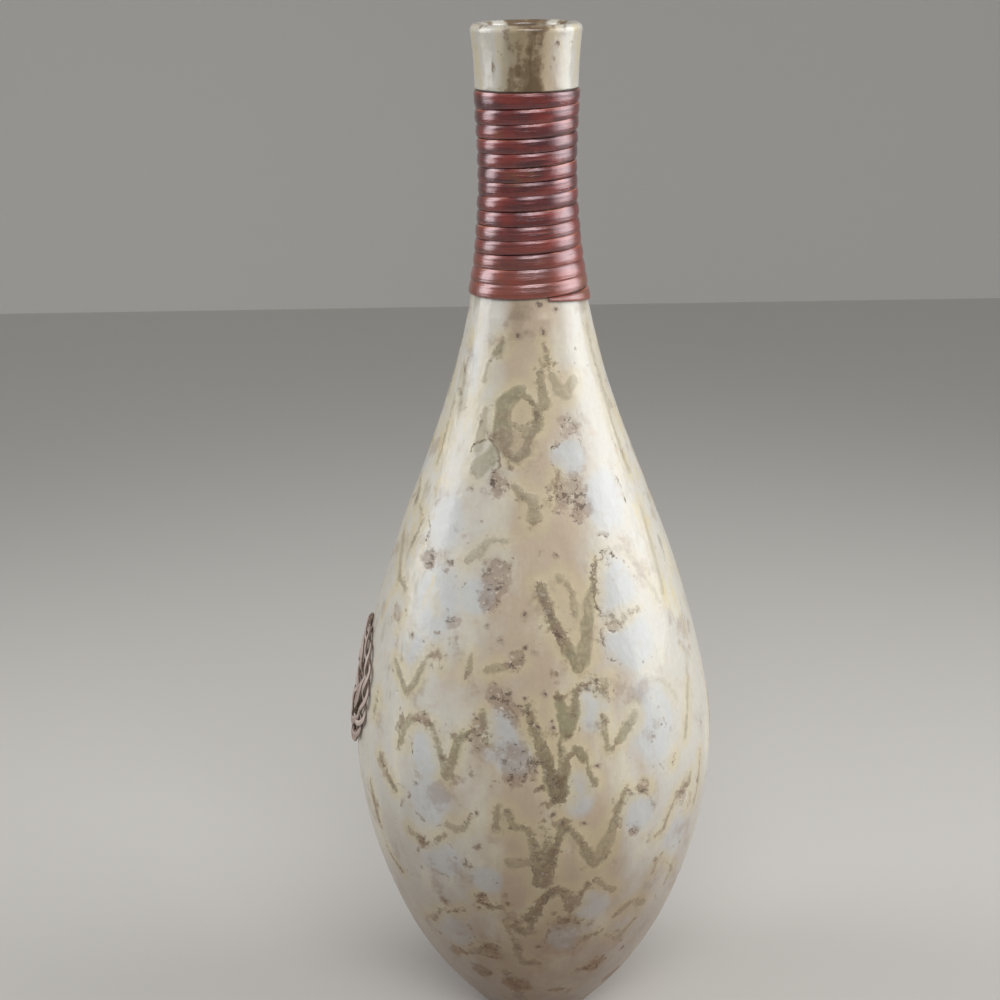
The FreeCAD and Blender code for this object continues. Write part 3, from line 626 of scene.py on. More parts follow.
def glazed_body():
    points, faces = turned(body_profile(), COLUMNS)
    spread = np.hypot(points[:, 0], points[:, 1])
    outside = spread > np.interp(points[:, 2], INSIDE[:, 1], INSIDE[:, 0]) + 0.5 * WALL
    covered = (points[:, 2] > WRAP_BOTTOM) & (points[:, 2] < NECK_TOP + 1 * MM)
    back_runs, back_craters, back_pools = back_tiers()
    craters = [
        (middle, radius * MM, strength) for middle, (radius, strength) in on_pixels(FRONT_CRATERS)
    ]
    # Pools in front, partly painted reflection.
    pools = [
        (middle, half_width * MM, half_height * MM)
        for middle, (half_width, half_height) in on_pixels(FRONT_POOLS_AND_SHEEN)
    ]
    run_edge, run_tone, run_strength = run_field(points, front_runs() + back_runs)
    crater_edge, crater_strength = spot_field(points, craters + back_craters)
    pool_and_sheen = pool_field(points, pools + back_pools)
    run_edge[~outside | covered] = FAR
    crater_edge[~outside | covered] = FAR

    # Relief: runs stand proud, craters sink, and the whole surface waves a little.
    angles = np.arctan2(points[:, 1], points[:, 0])
    raised = np.clip(0.5 - run_edge / RUN_FADE, 0, 1)
    sunk = np.clip(0.5 - crater_edge / CRATER_FADE, 0, 1)
    rough = RANDOM.normal(0, 1, len(points))
    wave = sum(np.sin(count * angles + up * points[:, 2]) for count, up in SURFACE_WAVES)
    lift = RUN_RELIEF * raised * run_strength * (3 * raised - 2 * raised**2)
    lift -= sunk * crater_strength * (CRATER_DEPTH + CRATER_ROUGHNESS * rough)
    lift += SURFACE_WAVE * wave
    lift[~outside | covered] = 0
    away = out_of_body(angles, points[:, 2])
    near_foot = np.interp(points[:, 2], FOOT_FADE, (0, 1))
    near_lip = np.interp(TOTAL_HEIGHT - points[:, 2], LIP_FADE, (0, 1))
    points = points + away * (lift * MM * near_foot * near_lip)[:, None]

    piece = new_piece("glazed_body", points, faces, "glazed_stoneware", "vase_body")
    names = ["run_edge", "run_tone", "run_strength", "crater_edge", "crater_strength", "pool_and_sheen"]
    fields = [run_edge, run_tone, run_strength, crater_edge, crater_strength, pool_and_sheen]
    for name, values in zip(names, fields):
        store(piece, name, values)
    return piece


# The cane wound round the neck

WRAP_PITCH = 0.006
WRAP_TURNS = 14.5
WRAP_FIRST_HEIGHT = 0.33605
WRAP_START_ANGLE = -72
WRAP_TOP = NECK_TOP - 0.3 * MM
STRIP_WIDTH = 6.1 * MM
STRIP_THICKNESS = 1.4 * MM
STRIP_EDGE = 0.55 * MM
STRIP_SEAT = 0.15 * MM
TAIL_TURNS = 65 / 360
TAIL_TIP_SHARE = 0.2
STEPS_PER_TURN = 120
LEVEL_START = 13.35
LEVEL_TURNS = 0.4
STRIP_POINTS = 21
LEAST_WIDTH = 0.4 * MM
# How the strip wanders: the turns from one seeded value to the next, and how far they go.
WIDTH_WANDER = (0.21, 0.42 * MM)
SHIFT_WANDER = (0.33, 0.34 * MM)
THICKNESS_WANDER = (0.27, 0.2 * MM)
TILT, TILT_WANDER = 0.1 * MM, (0.4, 0.24 * MM)
TOP_WANDER = (0.03, 0.15 * MM)
GROOVE = 0.07 * MM
# The strip is full where it is at least this wide. The powers give its rounded section.
FULL_WIDTH = 3 * MM
SECTION_POWERS = (2.7, 0.6)


def wandering(places, spacing, size):
    """A smooth seeded wander along a length."""
    count = math.ceil(places[-1] / spacing) + 4
    return np.interp(places, np.arange(count) * spacing, RANDOM.uniform(-size, size, count))


def strip_mesh(rings, closed):
    """Points and faces of a row of rings that turn to the right, seen along the row. The ends
    are flat unless it is closed."""
    rings = np.array(rings)
    count, around = rings.shape[:2]
    faces = []
    for ring in range(count if closed else count - 1):
        here, there = ring * around, (ring + 1) % count * around
        for k in range(around):
            beside = (k + 1) % around
            faces.append((here + k, here + beside, there + beside, there + k))
    if not closed:
        faces.append(tuple(range(around))[::-1])
        faces.append(tuple(range((count - 1) * around, count * around)))
    return rings.reshape(-1, 3), faces


def cane_wrap():
    turns = np.linspace(0, WRAP_TURNS, round(WRAP_TURNS * STEPS_PER_TURN) + 1)
    width = STRIP_WIDTH + wandering(turns, *WIDTH_WANDER)
    shift = wandering(turns, *SHIFT_WANDER)
    thickness = STRIP_THICKNESS + wandering(turns, *THICKNESS_WANDER)
    tilt = TILT + wandering(turns, *TILT_WANDER)
    middle = WRAP_FIRST_HEIGHT + WRAP_PITCH * turns + shift
    high = np.minimum(middle + width / 2, WRAP_TOP + wandering(turns, *TOP_WANDER))
    level = np.clip((turns - LEVEL_START) / LEVEL_TURNS, 0, 1)
    high += (WRAP_TOP - 0.1 * MM - high) * level
    shown = TAIL_TIP_SHARE + (1 - TAIL_TIP_SHARE) * np.clip(turns / TAIL_TURNS, 0, 1)
    low = np.minimum(middle + width / 2 - width * shown, high - LEAST_WIDTH)
    angles = math.radians(WRAP_START_ANGLE) + turns * math.tau
    across = np.linspace(-1, 1, STRIP_POINTS)
    grooves = RANDOM.uniform(-GROOVE, GROOVE, STRIP_POINTS)
    bulge = (1 - np.abs(across) ** SECTION_POWERS[0]) ** SECTION_POWERS[1]
    rings = []
    for k in range(len(turns)):
        height = low[k] + (high[k] - low[k]) * (across + 1) / 2
        fullness = min(1, (high[k] - low[k]) / FULL_WIDTH)
        over = STRIP_EDGE + (thickness[k] - STRIP_EDGE) * bulge * fullness
        over += grooves * bulge - tilt[k] * across
        outer = radius_at(height) + STRIP_SEAT + over
        inner = radius_at(height) + STRIP_SEAT
        direction = np.array([math.cos(angles[k]), math.sin(angles[k])])
        top = np.concatenate([np.outer(outer, direction), height[:, None]], 1)
        bottom = np.concatenate([np.outer(inner, direction), height[:, None]], 1)[::-4]
        rings.append(np.concatenate([top, bottom]))
    # From the upper end down, so that the faces point out of the strip.
    points, faces = strip_mesh(rings[::-1], False)
    piece = new_piece("cane_wrap", points, faces, "wrap_cane", "neck_wrap")
    around = len(rings[0])
    sides = np.concatenate([across, across[::-4]])
    store(piece, "across", np.tile(sides, len(turns)))
    store(piece, "along", np.repeat(turns[::-1] * math.tau * NECK_RADIUS, around))
    return piece


# The medallion

MEDALLION_HEIGHT = 0.16
MEDALLION_RADIUS = 0.0285
STRAND = 1.4 * MM
STRAND_WIDTH = 2.7 * MM
STRAND_DEPTH = 1.15 * MM
STRAND_SINK = 0.35 * MM
WEAVE_GAP = 0.45 * MM
SEAT_GAP = 0.25 * MM
RING_SWING = 2.6 * MM
RING_WAVES = 8
KNOT_INNER_SHARE = 0.42
KNOT_RISE_SHARE = 1.15
KNOT_CREST_SHARE = 0.35
KNOT_BIGHTS = 5
KNOT_LAPS = 3
STRAND_STEPS = 420
STRAND_POINTS = 12
# How far a strand drifts from its route, and how much of that it drifts in height.
DRIFT, DRIFT_HEIGHT_SHARE = 0.35 * MM, 0.4
# Size and number of the waves in a strand's width.
SWELLS = [(0.10, 7), (0.06, 17)]
RIB_SIZE, RIBS = 0.08, 5
STEP_APART = STRAND + WEAVE_GAP
RING_MIDDLE = MEDALLION_RADIUS - STRAND / 2 - RING_SWING


def medallion_place(across, up, above):
    """Points over the belly at the medallion, and the way out of the belly there."""
    height = MEDALLION_HEIGHT + up
    angle = math.pi + across / radius_at(height)
    return on_body(angle, height, above), out_of_body(angle, height)


def ring_route(phase):
    turns = np.arange(STRAND_STEPS) / STRAND_STEPS * math.tau
    rise = STEP_APART / 2
    radius = RING_MIDDLE + RING_SWING * np.cos(RING_WAVES * turns + phase)
    above = SEAT_GAP + STRAND / 2 + rise + rise * np.sin(RING_WAVES * turns + phase)
    return radius * np.sin(turns), radius * np.cos(turns), above - STRAND_SINK


def knot_route(side):
    laps = np.arange(2 * STRAND_STEPS) / (2 * STRAND_STEPS) * KNOT_LAPS
    outer = RING_MIDDLE - RING_SWING - STRAND / 2 - WEAVE_GAP - STEP_APART / 2 - STRAND / 2
    inner = outer * KNOT_INNER_SHARE
    swing = math.tau * KNOT_BIGHTS / KNOT_LAPS * laps
    radius = (outer + inner) / 2 + (outer - inner) / 2 * np.cos(swing)
    turns = math.tau * laps
    route = np.stack([radius * np.sin(turns), radius * np.cos(turns)], 1)
    ahead = np.roll(route, -1, 0) - np.roll(route, 1, 0)
    ahead /= np.linalg.norm(ahead, axis=1)[:, None]
    route += np.stack([ahead[:, 1], -ahead[:, 0]], 1) * side * STEP_APART / 2
    wave = np.sin(2 * swing)
    wave *= math.hypot(1, KNOT_CREST_SHARE) / np.hypot(wave, KNOT_CREST_SHARE)
    rise = STEP_APART / 2 * KNOT_RISE_SHARE
    above = SEAT_GAP + STRAND / 2 + rise + rise * wave
    return route[:, 0], route[:, 1], above - STRAND_SINK


def medallion_strand(name, route, node):
    """A flattened cane strand that follows the route over the belly and closes on itself."""
    sway = np.linspace(0, math.tau, len(route[0]), endpoint=False)
    drift = [
        DRIFT * np.sin(RANDOM.integers(3, 9) * sway + RANDOM.uniform(0, 6)) for _ in range(3)
    ]
    across, up, above = route
    above = above + drift[2] * DRIFT_HEIGHT_SHARE
    points, away = medallion_place(across + drift[0], up + drift[1], above)
    ahead = np.roll(points, -1, 0) - np.roll(points, 1, 0)
    ahead /= np.linalg.norm(ahead, axis=1)[:, None]
    sideways = np.cross(away, ahead)
    sideways /= np.linalg.norm(sideways, axis=1)[:, None]
    above = np.cross(ahead, sideways)
    places = np.linspace(0, 1, len(points), endpoint=False)
    swell = np.ones(len(places))
    for size, waves in SWELLS:
        swell += size * np.sin(math.tau * waves * places + RANDOM.uniform(0, 6))
    around = np.arange(STRAND_POINTS) / STRAND_POINTS * math.tau
    wide = np.cos(around) * STRAND_WIDTH / 2
    thick = np.sin(around) * STRAND_DEPTH / 2 * (1 + RIB_SIZE * np.cos(RIBS * around))
    rings = (
        points[:, None]
        + sideways[:, None] * (swell[:, None] * wide)[..., None]
        + above[:, None] * thick[None, :, None]
    )
    mesh_points, faces = strip_mesh(rings, True)
    piece = new_piece(name, mesh_points, faces, "medallion_cane", node)
    length = np.linalg.norm(np.diff(points, axis=0), axis=1).sum()
    store(piece, "along", np.repeat(places * length, STRAND_POINTS))
    store(piece, "across", np.tile(np.cos(around), len(points)))
    return piece


body = glazed_body()
wrap = cane_wrap()
strands = [
    medallion_strand("medallion_ring_a", ring_route(0), "medallion_ring_strand_a"),
    medallion_strand("medallion_ring_b", ring_route(math.pi), "medallion_ring_strand_b"),
    medallion_strand("medallion_knot_a", knot_route(1), "medallion_knot_strand_a"),
    medallion_strand("medallion_knot_b", knot_route(-1), "medallion_knot_strand_b"),
]


# Materials

def rgb(red, green, blue):
    """A scene colour from 0 to 255 display values."""
    parts = []
    for value in (red, green, blue):
        value /= 255
        parts.append(value / 12.92 if value <= 0.04045 else ((value + 0.055) / 1.055) ** 2.4)
    return (*parts, 1)


class Signal:
    """What a node gives out. Numbers add, multiply and so on as in a formula."""

    def __init__(self, shading, socket):
        self.maths = shading.maths
        self.socket = socket

    def __add__(self, other):
        return self.maths("ADD", self, other)

    def __sub__(self, other):
        return self.maths("SUBTRACT", self, other)

    def __mul__(self, other):
        return self.maths("MULTIPLY", self, other)

    def __truediv__(self, other):
        return self.maths("DIVIDE", self, other)

    def __abs__(self):
        return self.maths("ABSOLUTE", self)


class Shading:
    """A material's nodes, built as nested calls."""

    def __init__(self, name, colour):
        self.colour = colour
        self.material = bpy.data.materials.new(name)
        self.material.use_nodes = True
        self.tree = self.material.node_tree
        self.shader = self.tree.nodes["Principled BSDF"]

    def node(self, kind, inputs=(), **settings):
        made = self.tree.nodes.new(kind)
        for key, value in settings.items():
            setattr(made, key, value)
        for key, value in dict(inputs).items():
            self.plug(made.inputs[key], value)
        return made

    def signal(self, kind, inputs=(), output=0, **settings):
        return Signal(self, self.node(kind, inputs, **settings).outputs[output])

    def plug(self, socket, value):
        if isinstance(value, Signal):
            self.tree.links.new(value.socket, socket)
        else:
            socket.default_value = value

    def paint(self, amount, colour):
        """Lays a colour over the one so far, by an amount from 0 to 1."""
        self.colour = self.blend(amount, self.colour, colour)

    def finished(self, **inputs):
        """The material, with its colour and these inputs of its shader."""
        for key, value in dict(inputs, Base_Color=self.colour).items():
            self.plug(self.shader.inputs[key.replace("_", " ")], value)
        return self.material

    def place(self):
        return self.signal("ShaderNodeTexCoord", output="Object")

    def height(self, where):
        return self.signal("ShaderNodeSeparateXYZ", {0: where}, output="Z")

    def attribute(self, name):
        return self.signal("ShaderNodeAttribute", output="Fac", attribute_name=name)

    def maths(self, operation, first, second=0.0, clamp=False):
        inputs = {0: first, 1: second}
        return self.signal("ShaderNodeMath", inputs, operation=operation, use_clamp=clamp)

    def larger(self, first, second):
        return self.maths("MAXIMUM", first, second)

    def smaller(self, first, second):
        return self.maths("MINIMUM", first, second)

    def scaled(self, where, factors):
        inputs = {0: where, 1: factors}
        return self.signal("ShaderNodeVectorMath", inputs, operation="MULTIPLY")

    def gap(self, where, point):
        inputs = {0: where, 1: tuple(point)}
        return self.signal("ShaderNodeVectorMath", inputs, "Value", operation="DISTANCE")

    def noise(self, where, scale, detail):
        """Noise about 0, from about -0.5 to 0.5."""
        inputs = {"Vector": where, "Scale": scale, "Detail": detail}
        return self.signal("ShaderNodeTexNoise", inputs) - 0.5

    def rise(self, value, start, end, low=0.0, high=1.0):
        """A smooth step of the value between start and end."""
        inputs = {0: value, 1: start, 2: end, 3: low, 4: high}
        return self.signal("ShaderNodeMapRange", inputs, interpolation_type="SMOOTHSTEP")

    def blend(self, factor, first, second):
        inputs = {0: factor, 6: first, 7: second}
        return self.signal("ShaderNodeMix", inputs, 2, data_type="RGBA")

    def bump(self, height, distance, invert=False):
        inputs = {"Height": height, "Distance": distance}
        return self.signal("ShaderNodeBump", inputs, invert=invert)


CREAM = rgb(215, 208, 184)
TAN = rgb(193, 175, 152)
TONGUE = rgb(208, 194, 156)
# Painted sheen round the sides of the glaze.
PAINTED_SHEEN_GREY = rgb(203, 201, 193)
# Pale pools, partly the glaze's own pooling and partly painted reflection.
POOL_AND_SHEEN_BLUE_GREY = rgb(195, 198, 199)
OLIVE = rgb(137, 129, 102)
OLIVE_BROWN = rgb(114, 92, 66)
DARK_BROWN = rgb(92, 72, 54)
MAUVE = rgb(146, 123, 106)
COLLAR_STAIN = rgb(150, 134, 100)
# Painted shade towards the foot.
LOW_SHADE_BROWN = rgb(124, 88, 54)
PIT_DARK = rgb(84, 66, 54)
# Pale crumbs, partly painted highlights on raised rims.
CRUMB_AND_GLINT_PALE = rgb(222, 214, 198)
BARE_CLAY = rgb(150, 130, 105)

# The middle of the front, where the painted sheen of the sides is least, as a share of the radius
# across, and the same for the collar's stain.
GLAZE_MIDDLE = 0.05
STAIN_MIDDLE = 0.03
# Heights between which the flanks' streaks fade in, and the glaze's gloss changes.
FLANK_HEIGHTS = (0.12, 0.22)
GLOSS_HEIGHTS = (0.29, 0.43)
# Noise scales, from clouds the size of a hand down to grains.
BROAD, CLOUDS, MIDDLING, FINE, GRAIN = 24, 62, 150, 430, 1500
STREAK_SCALE, DUSK_SCALE, CRUMB_SCALE, RIDGE_SCALE, CRACK_SCALE = 170, 55, 130, 210, 260
SPARSE_PIT_SCALE = 70
SPARSE_PIT_CHANCE = 0.4
PIT_RADIUS_SHARE = 0.5


def glaze_material():
    glaze = Shading("drip_glaze", TAN)
    rise, paint, noise, larger = glaze.rise, glaze.paint, glaze.noise, glaze.larger
    where = glaze.place()
    height = glaze.height(where)
    broad = noise(where, BROAD, 3)
    cloudy = noise(glaze.scaled(where, (1, 1, 0.4)), CLOUDS, 5)
    middling = noise(where, MIDDLING, 4)
    fine = noise(where, FINE, 5)
    grain = noise(where, GRAIN, 2)

    # Tan in the middle, a painted sheen of pale grey round the sides, pale blue-grey in the pools
    # that is partly painted reflection, cream in streaks.
    across = glaze.signal("ShaderNodeSeparateXYZ", {0: where}, output="X")
    aside = across / glaze.gap(glaze.scaled(where, (1, 1, 0)), (0, 0, 0))
    side = abs(aside - GLAZE_MIDDLE) + broad * 0.7 + cloudy * 0.8
    paint(rise(side, 0.12, 0.62, 0, 0.9), PAINTED_SHEEN_GREY)
    paint(rise(cloudy, 0.0, 0.22, 0, 0.6), CREAM)
    pool_and_sheen = glaze.attribute("pool_and_sheen") + cloudy * 0.9
    paint(rise(pool_and_sheen, 0.25, 0.7, 0, 0.78), POOL_AND_SHEEN_BLUE_GREY)
    paint(rise(middling, 0.04, 0.3, 0, 0.5), TAN)

    # Thin yellowish and olive streaks down the flanks of the shoulder and the collar.
    streaky = noise(glaze.scaled(where, (1, 1, 0.2)), STREAK_SCALE, 5)
    on_collar = rise(height, NECK_TOP - 0.5 * MM, NECK_TOP + 0.5 * MM)
    flank = larger(rise(side, 0.6, 0.95) * rise(height, *FLANK_HEIGHTS), on_collar * 0.6)
    paint(rise(streaky, 0.0, -0.16, 0, 0.7) * flank, TONGUE)
    paint(rise(streaky, 0.07, 0.2, 0, 0.42) * flank, OLIVE)

    # Runs of darker glaze with yellowish tongues beside them. The browner, the more crumbly.
    tone = glaze.attribute("run_tone")
    strength = glaze.attribute("run_strength")
    crumbling = (fine * 4 + grain * 1.6) * (tone * 1.1 + 0.35)
    ragged = glaze.attribute("run_edge") + middling * 5.5 + cloudy * 2.5 + crumbling
    tongue = rise(ragged + cloudy * 7, 6.5, 0.5) * strength
    paint(tongue * 0.72, TONGUE)
    browner = glaze.maths("ADD", tone, middling * 2.2, clamp=True)
    patchy = rise(cloudy + fine, -0.3, 0.12, 0.45, 1.0)
    run = rise(ragged, 0.9, -0.9) * strength * patchy
    paint(run * 0.92, glaze.blend(browner, OLIVE, OLIVE_BROWN))
    fringe = rise(abs(ragged - 0.1), 0.55, 0.1) * rise(middling, -0.02, 0.12)
    fringe = fringe * strength * (tone * 0.7 + 0.3)
    paint(fringe, DARK_BROWN)

    # Stray short marks and brown clouds between the runs.
    crowding = rise(ragged, 6.0, 0.5, 0, 0.09) * strength
    crumbly = noise(where, CRUMB_SCALE, 6) + fine * 0.45 + crowding
    stray = rise(crumbly, 0.15, 0.23) * rise(cloudy, -0.08, 0.1)
    paint(stray * 0.62, OLIVE_BROWN)
    paint(rise(crumbly, 0.25, 0.31) * 0.6, DARK_BROWN)
    dusky = rise(noise(where, DUSK_SCALE, 6) + fine * 0.3, 0.06, 0.2)
    paint(dusky * 0.42, MAUVE)

    # Broken brown lines along the borders of the pale pools.
    border = rise(abs(pool_and_sheen + middling * 0.7 + fine * 0.35 - 0.42), 0.09, 0.02)
    border = border * rise(crumbly, 0.0, 0.09) * rise(broad, -0.04, 0.08)
    paint(border * 0.7, OLIVE_BROWN)

    # Crawled patches: a mauve cloud with short dark cracks and pale crumbs, which are partly
    # painted highlights on raised rims.
    crater_strength = glaze.attribute("crater_strength")
    crawl = glaze.attribute("crater_edge") + middling * 13 + fine * 5 + cloudy * 11
    cloud = rise(crawl, 1.9, -1.2) * crater_strength
    paint(cloud * 0.72, MAUVE)
    broken = noise(glaze.scaled(where, (1, 1, 1.5)), CRACK_SCALE, 6)
    ridge = rise(abs(noise(where, RIDGE_SCALE, 5) + grain * 0.05), 0.03, 0.012)
    ridge = ridge * rise(middling, 0.0, 0.1, 0, 0.8)
    cracks = larger(rise(broken + grain * 0.3, 0.09, 0.15), ridge)
    beside_runs = rise(ragged, 2.0, 0.0) * tone * strength
    busy = larger(rise(crawl, 1.8, -0.8) * crater_strength, beside_runs * 0.75)
    busy = larger(busy, border * 0.9)
    crumbs_and_glints = rise(fine + grain * 0.5, 0.08, 0.18) * busy
    paint(crumbs_and_glints * 0.75, CRUMB_AND_GLINT_PALE)
    pits = cracks * busy
    paint(pits * 0.9, PIT_DARK)

    # A few pits by themselves: placed ones in front and sparse ones all round.
    cells = glaze.node("ShaderNodeTexVoronoi", {"Vector": where, "Scale": SPARSE_PIT_SCALE})
    cell_colour, cell_gap = (Signal(glaze, cells.outputs[name]) for name in ("Color", "Distance"))
    lottery = glaze.signal("ShaderNodeSeparateColor", {0: cell_colour})
    drawn = glaze.maths("GREATER_THAN", lottery, 1 - SPARSE_PIT_CHANCE)
    spots = rise(cell_gap + fine * 0.12, 0.06, 0.03) * drawn
    nearest = 1.0
    for middle, (radius,) in on_pixels(FRONT_PITS):
        pit_edge = glaze.gap(where, middle) - radius * PIT_RADIUS_SHARE * MM
        nearest = glaze.smaller(pit_edge, nearest)
    nearest = nearest + fine * (5 * MM)
    placed = rise(nearest, 0.3 * MM, -0.3 * MM)
    paint(rise(nearest, 1.6 * MM, 0.3 * MM, 0, 0.4), MAUVE)
    single = larger(spots * 0.5, placed * 0.78)
    paint(single * 0.8, PIT_DARK)

    # A brown stain runs down the collar, in streaks from the lip.
    weight = rise(abs(aside - STAIN_MIDDLE), 0.75, 0.2, -0.1, 0.17)
    on_lip = rise(height, TOTAL_HEIGHT - 4 * MM, TOTAL_HEIGHT - 1 * MM, 0, 0.14)
    stain = streaky + weight + cloudy * 0.6 + on_lip + middling * 0.7
    stained = rise(stain + fine * 0.4, 0.07, 0.24) * on_collar
    soft_stain = rise(weight + cloudy * 0.9, -0.04, 0.2) * on_collar
    paint(soft_stain * 0.62, COLLAR_STAIN)
    paint(stained * 0.7, OLIVE_BROWN)
    paint(rise(stain, 0.2, 0.34) * on_collar * 0.6, DARK_BROWN)

    # Painted shade darkens the glaze downwards, the glaze is faintly mottled, and the foot ring is
    # bare.
    low = rise(height + cloudy * 0.06, 0.16, -0.01, 0, 0.78)
    paint(low, LOW_SHADE_BROWN)
    shade = cloudy * 0.16 + fine * 0.16 + 1.0
    inputs = {"Value": shade, "Color": glaze.colour}
    glaze.colour = glaze.signal("ShaderNodeHueSaturation", inputs)
    bare = rise(height + middling * (4 * MM), 2.2 * MM, 1.0 * MM)
    paint(bare, BARE_CLAY)

    rough = rise(height, *GLOSS_HEIGHTS, 0.42, 0.22) + cloudy * 0.12
    rough = rough + larger(cloud, single) * 0.25 + bare * 0.4
    relief = run * 0.5 - pits * 1.2 - cloud * 0.4 - single
    relief = relief + middling * 0.9 + cloudy * 3.0 + fine * cloud * 1.5
    bumped = glaze.bump(relief, 0.24 * MM)
    return glaze.finished(
        Roughness=glaze.smaller(rough, 0.85),
        Normal=bumped,
        Coat_Weight=rise(bare + cloud, 0.0, 0.8, 0.34, 0.08),
        Coat_Roughness=0.11,
        Coat_Normal=bumped,
        IOR=1.5,
    )


# Pale flecks on the wrap, partly painted glints on small scars: the pixel of each.
WRAP_FLECKS_AND_GLINTS = [(535.5, 149.7), (536.7, 119), (571, 236), (560, 262), (498, 262), (549, 176)]

# Heights between which the cane grows paler downwards.
PALER_HEIGHTS = (0.375, 0.33)


def cane_material(name, colours, fibre_scale, seam_start, gloss, grooved, **shader):
    """Cane with streaks along its fibres, read from the strip's own along and across. The pale
    streaks stand proud, or lie in grooves."""
    plain, dark, pale, stain, seam_shade = (rgb(*colour) for colour in colours)
    cane = Shading(name, dark)
    rise, paint, noise = cane.rise, cane.paint, cane.noise
    where = cane.place()
    across = cane.attribute("across")
    inputs = {0: cane.attribute("along") * 60, 1: across * fibre_scale}
    fibres = cane.signal("ShaderNodeCombineXYZ", inputs)
    beside = {0: where, 1: (3.1, 0.7, 0)}
    patches = noise(cane.signal("ShaderNodeVectorMath", beside, operation="ADD"), 90, 3)
    streaks = noise(fibres, 1.0, 4)
    fine_streaks = noise(cane.scaled(fibres, (2.5, 4, 1)), 1.0, 4)
    lengthwise = noise(cane.scaled(fibres, (0.9, 0.25, 1)), 1.0, 2)
    shade = streaks * 0.5 + lengthwise + patches * 0.8
    paint(rise(shade, -0.25, 0.3), plain)
    paint(rise(fine_streaks, 0.1, 0.32, 0, 0.45), pale)
    paint(rise(fine_streaks, -0.1, -0.3, 0, 0.5), dark)
    paint(rise(cane.height(where), *PALER_HEIGHTS, 0, 0.3), pale)
    stained = noise(where, 70, 4) + streaks * 0.5
    paint(rise(stained, 0.1, 0.3, 0, 0.5), stain)
    paint(rise(noise(where, 900, 2), 0.2, 0.3, 0, 0.5), dark)
    # Pale edges along the top of each turn: partly frayed fibres, partly a painted highlight where
    # light falls from above.
    frayed_and_lit_edge = rise(across + fine_streaks * 0.3, 0.72, 0.86)
    frayed_and_lit_edge = frayed_and_lit_edge * rise(lengthwise + streaks, 0.0, 0.16, 0, 0.75)
    paint(frayed_and_lit_edge, pale)
    # Painted shade at both edges of the strip, at the seams.
    shaded_seams = rise(abs(across) + fine_streaks * 0.12, seam_start, 1.0)
    paint(shaded_seams * rise(patches, -0.3, 0.0, 0.4, 0.95), seam_shade)
    # Pale flecks, partly painted glints on small scars.
    nearest = 1.0
    for middle, _ in on_pixels(WRAP_FLECKS_AND_GLINTS):
        nearest = cane.smaller(cane.gap(where, middle), nearest)
    flecks_and_glints = rise(nearest + fine_streaks * (3 * MM), 1.5 * MM, 0.9 * MM, 0, 0.8)
    bumped = cane.bump(fine_streaks + streaks * 0.8, 0.1 * MM, grooved)
    paint(flecks_and_glints, pale)
    return cane.finished(
        Roughness=fine_streaks * 0.12 + gloss,
        Normal=bumped,
        Coat_Roughness=0.18,
        Coat_Normal=bumped,
        **shader,
    )


# Colours of a cane: plain, dark, pale, stained, and the painted shade at the seams.
WRAP_COLOURS = [(124, 38, 25), (64, 9, 12), (186, 112, 84), (120, 84, 48), (40, 12, 12)]
STRAND_COLOURS = [(190, 170, 158), (112, 82, 68), (222, 212, 204), (156, 110, 82), (78, 52, 44)]
LACQUER_TINT = (1, 0.72, 0.79, 1)

body.data.materials.append(glaze_material())
wrap.data.materials.append(
    cane_material(
        "lacquered_cane",
        WRAP_COLOURS,
        fibre_scale=3.4,
        seam_start=0.88,
        gloss=0.23,
        grooved=True,
        Coat_Weight=0.62,
        IOR=1.95,
        Specular_Tint=LACQUER_TINT,
    )
)
strand_material = cane_material(
    "medallion_cane",
    STRAND_COLOURS,
    fibre_scale=2.2,
    seam_start=0.8,
    gloss=0.5,
    grooved=False,
    Coat_Weight=0.1,
    IOR=1.5,
)
for strand in strands:
    strand.data.materials.append(strand_material)


# The floor, the backdrop, the lights and the camera

FLOOR_SEEN = (0.55, 0.535, 0.51, 1)
FLOOR_BOUNCED = (0.26, 0.245, 0.23, 1)
SEEING_RAYS = ("Camera", "Glossy")
BACKDROP_COLOUR = (0.78, 0.77, 0.75, 1)
FAR_OUT = 30
FLAT_CORNERS = [(-1, -1), (1, -1), (1, 1), (-1, 1)]
BACKDROP_PLACE = 1.6
BACKDROP_TOP = 9
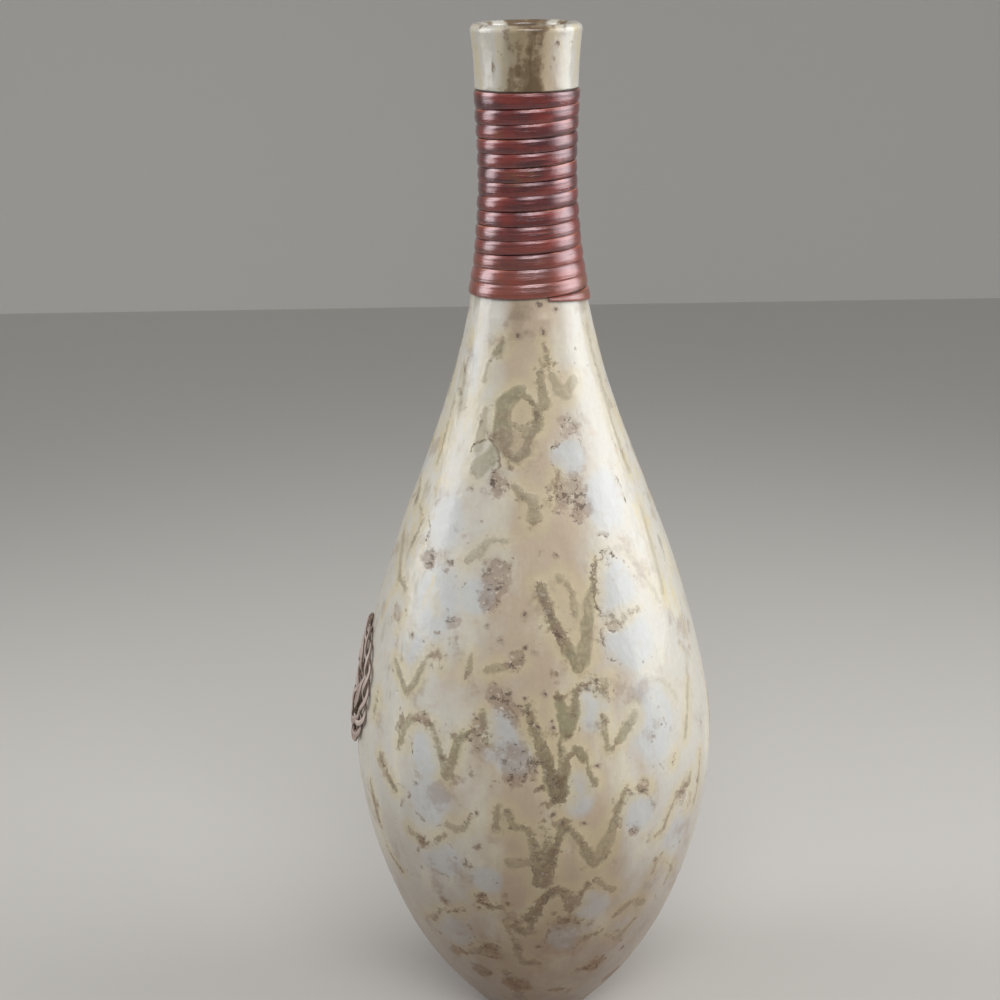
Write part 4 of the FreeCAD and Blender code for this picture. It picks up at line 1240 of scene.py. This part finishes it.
# Each light's place, target, width, height, power in watts and spread in degrees.
LIGHTS = {
    "left_softbox": ((-1.05, 0.1, 0.73), (0, 0, 0.37), 0.6, 1.1, 2.8, 100),
    "right_softbox": ((1.05, 0.0, 0.62), (0, 0, 0.32), 0.95, 1.1, 4.6, 100),
    "front_fill": ((0.2, -1.5, 1.9), (0, 0, 0.28), 1.6, 1.0, 5.6, 80),
}
ROOM_COLOUR = (1, 0.99, 0.97, 1)
ROOM_STRENGTH = 0.34


def plane(name, corners):
    mesh = bpy.data.meshes.new(name)
    mesh.from_pydata(corners, [], [(0, 1, 2, 3)])
    return new_object(name, mesh)


def floor_material():
    """Pale as it is seen, and darker for the light that it throws on the vase."""
    plain = Shading("floor", FLOOR_BOUNCED)
    rays = [plain.signal("ShaderNodeLightPath", output=f"Is {ray} Ray") for ray in SEEING_RAYS]
    plain.paint(plain.larger(*rays), FLOOR_SEEN)
    return plain.finished(Roughness=0.8)


floor = plane("floor", [(x * FAR_OUT, y * FAR_OUT, 0) for x, y in FLAT_CORNERS])
floor.data.materials.append(floor_material())
backdrop = plane(
    "backdrop",
    [(x * FAR_OUT, BACKDROP_PLACE, BACKDROP_TOP * (y + 1) / 2) for x, y in FLAT_CORNERS],
)
backdrop.data.materials.append(Shading("backdrop", BACKDROP_COLOUR).finished(Roughness=0.9))

for name, (place, target, width, height, power, spread) in LIGHTS.items():
    light = bpy.data.lights.new(name, "AREA")
    light.shape = "RECTANGLE"
    light.size, light.size_y = width, height
    light.energy = power
    light.spread = math.radians(spread)
    lamp = new_object(name, light)
    lamp.location = place
    lamp.rotation_euler = (Vector(target) - Vector(place)).to_track_quat("-Z", "Y").to_euler()

world = bpy.data.worlds.new("soft_room")
world.use_nodes = True
world.node_tree.nodes["Background"].inputs["Color"].default_value = ROOM_COLOUR
world.node_tree.nodes["Background"].inputs["Strength"].default_value = ROOM_STRENGTH
bpy.context.scene.world = world

lens = bpy.data.cameras.new("camera")
lens.lens, lens.sensor_width, lens.sensor_fit = LENS, SENSOR, "HORIZONTAL"
lens.clip_start, lens.clip_end = 0.01, 20
camera = new_object("camera", lens)
camera.location = CAMERA_PLACE
camera_right, camera_up, camera_forward = camera_axes()
camera.rotation_euler = Matrix(
    [[camera_right[k], camera_up[k], -camera_forward[k]] for k in range(3)]
).to_euler()
bpy.context.scene.camera = camera
bpy.context.scene.view_settings.view_transform = "Standard"
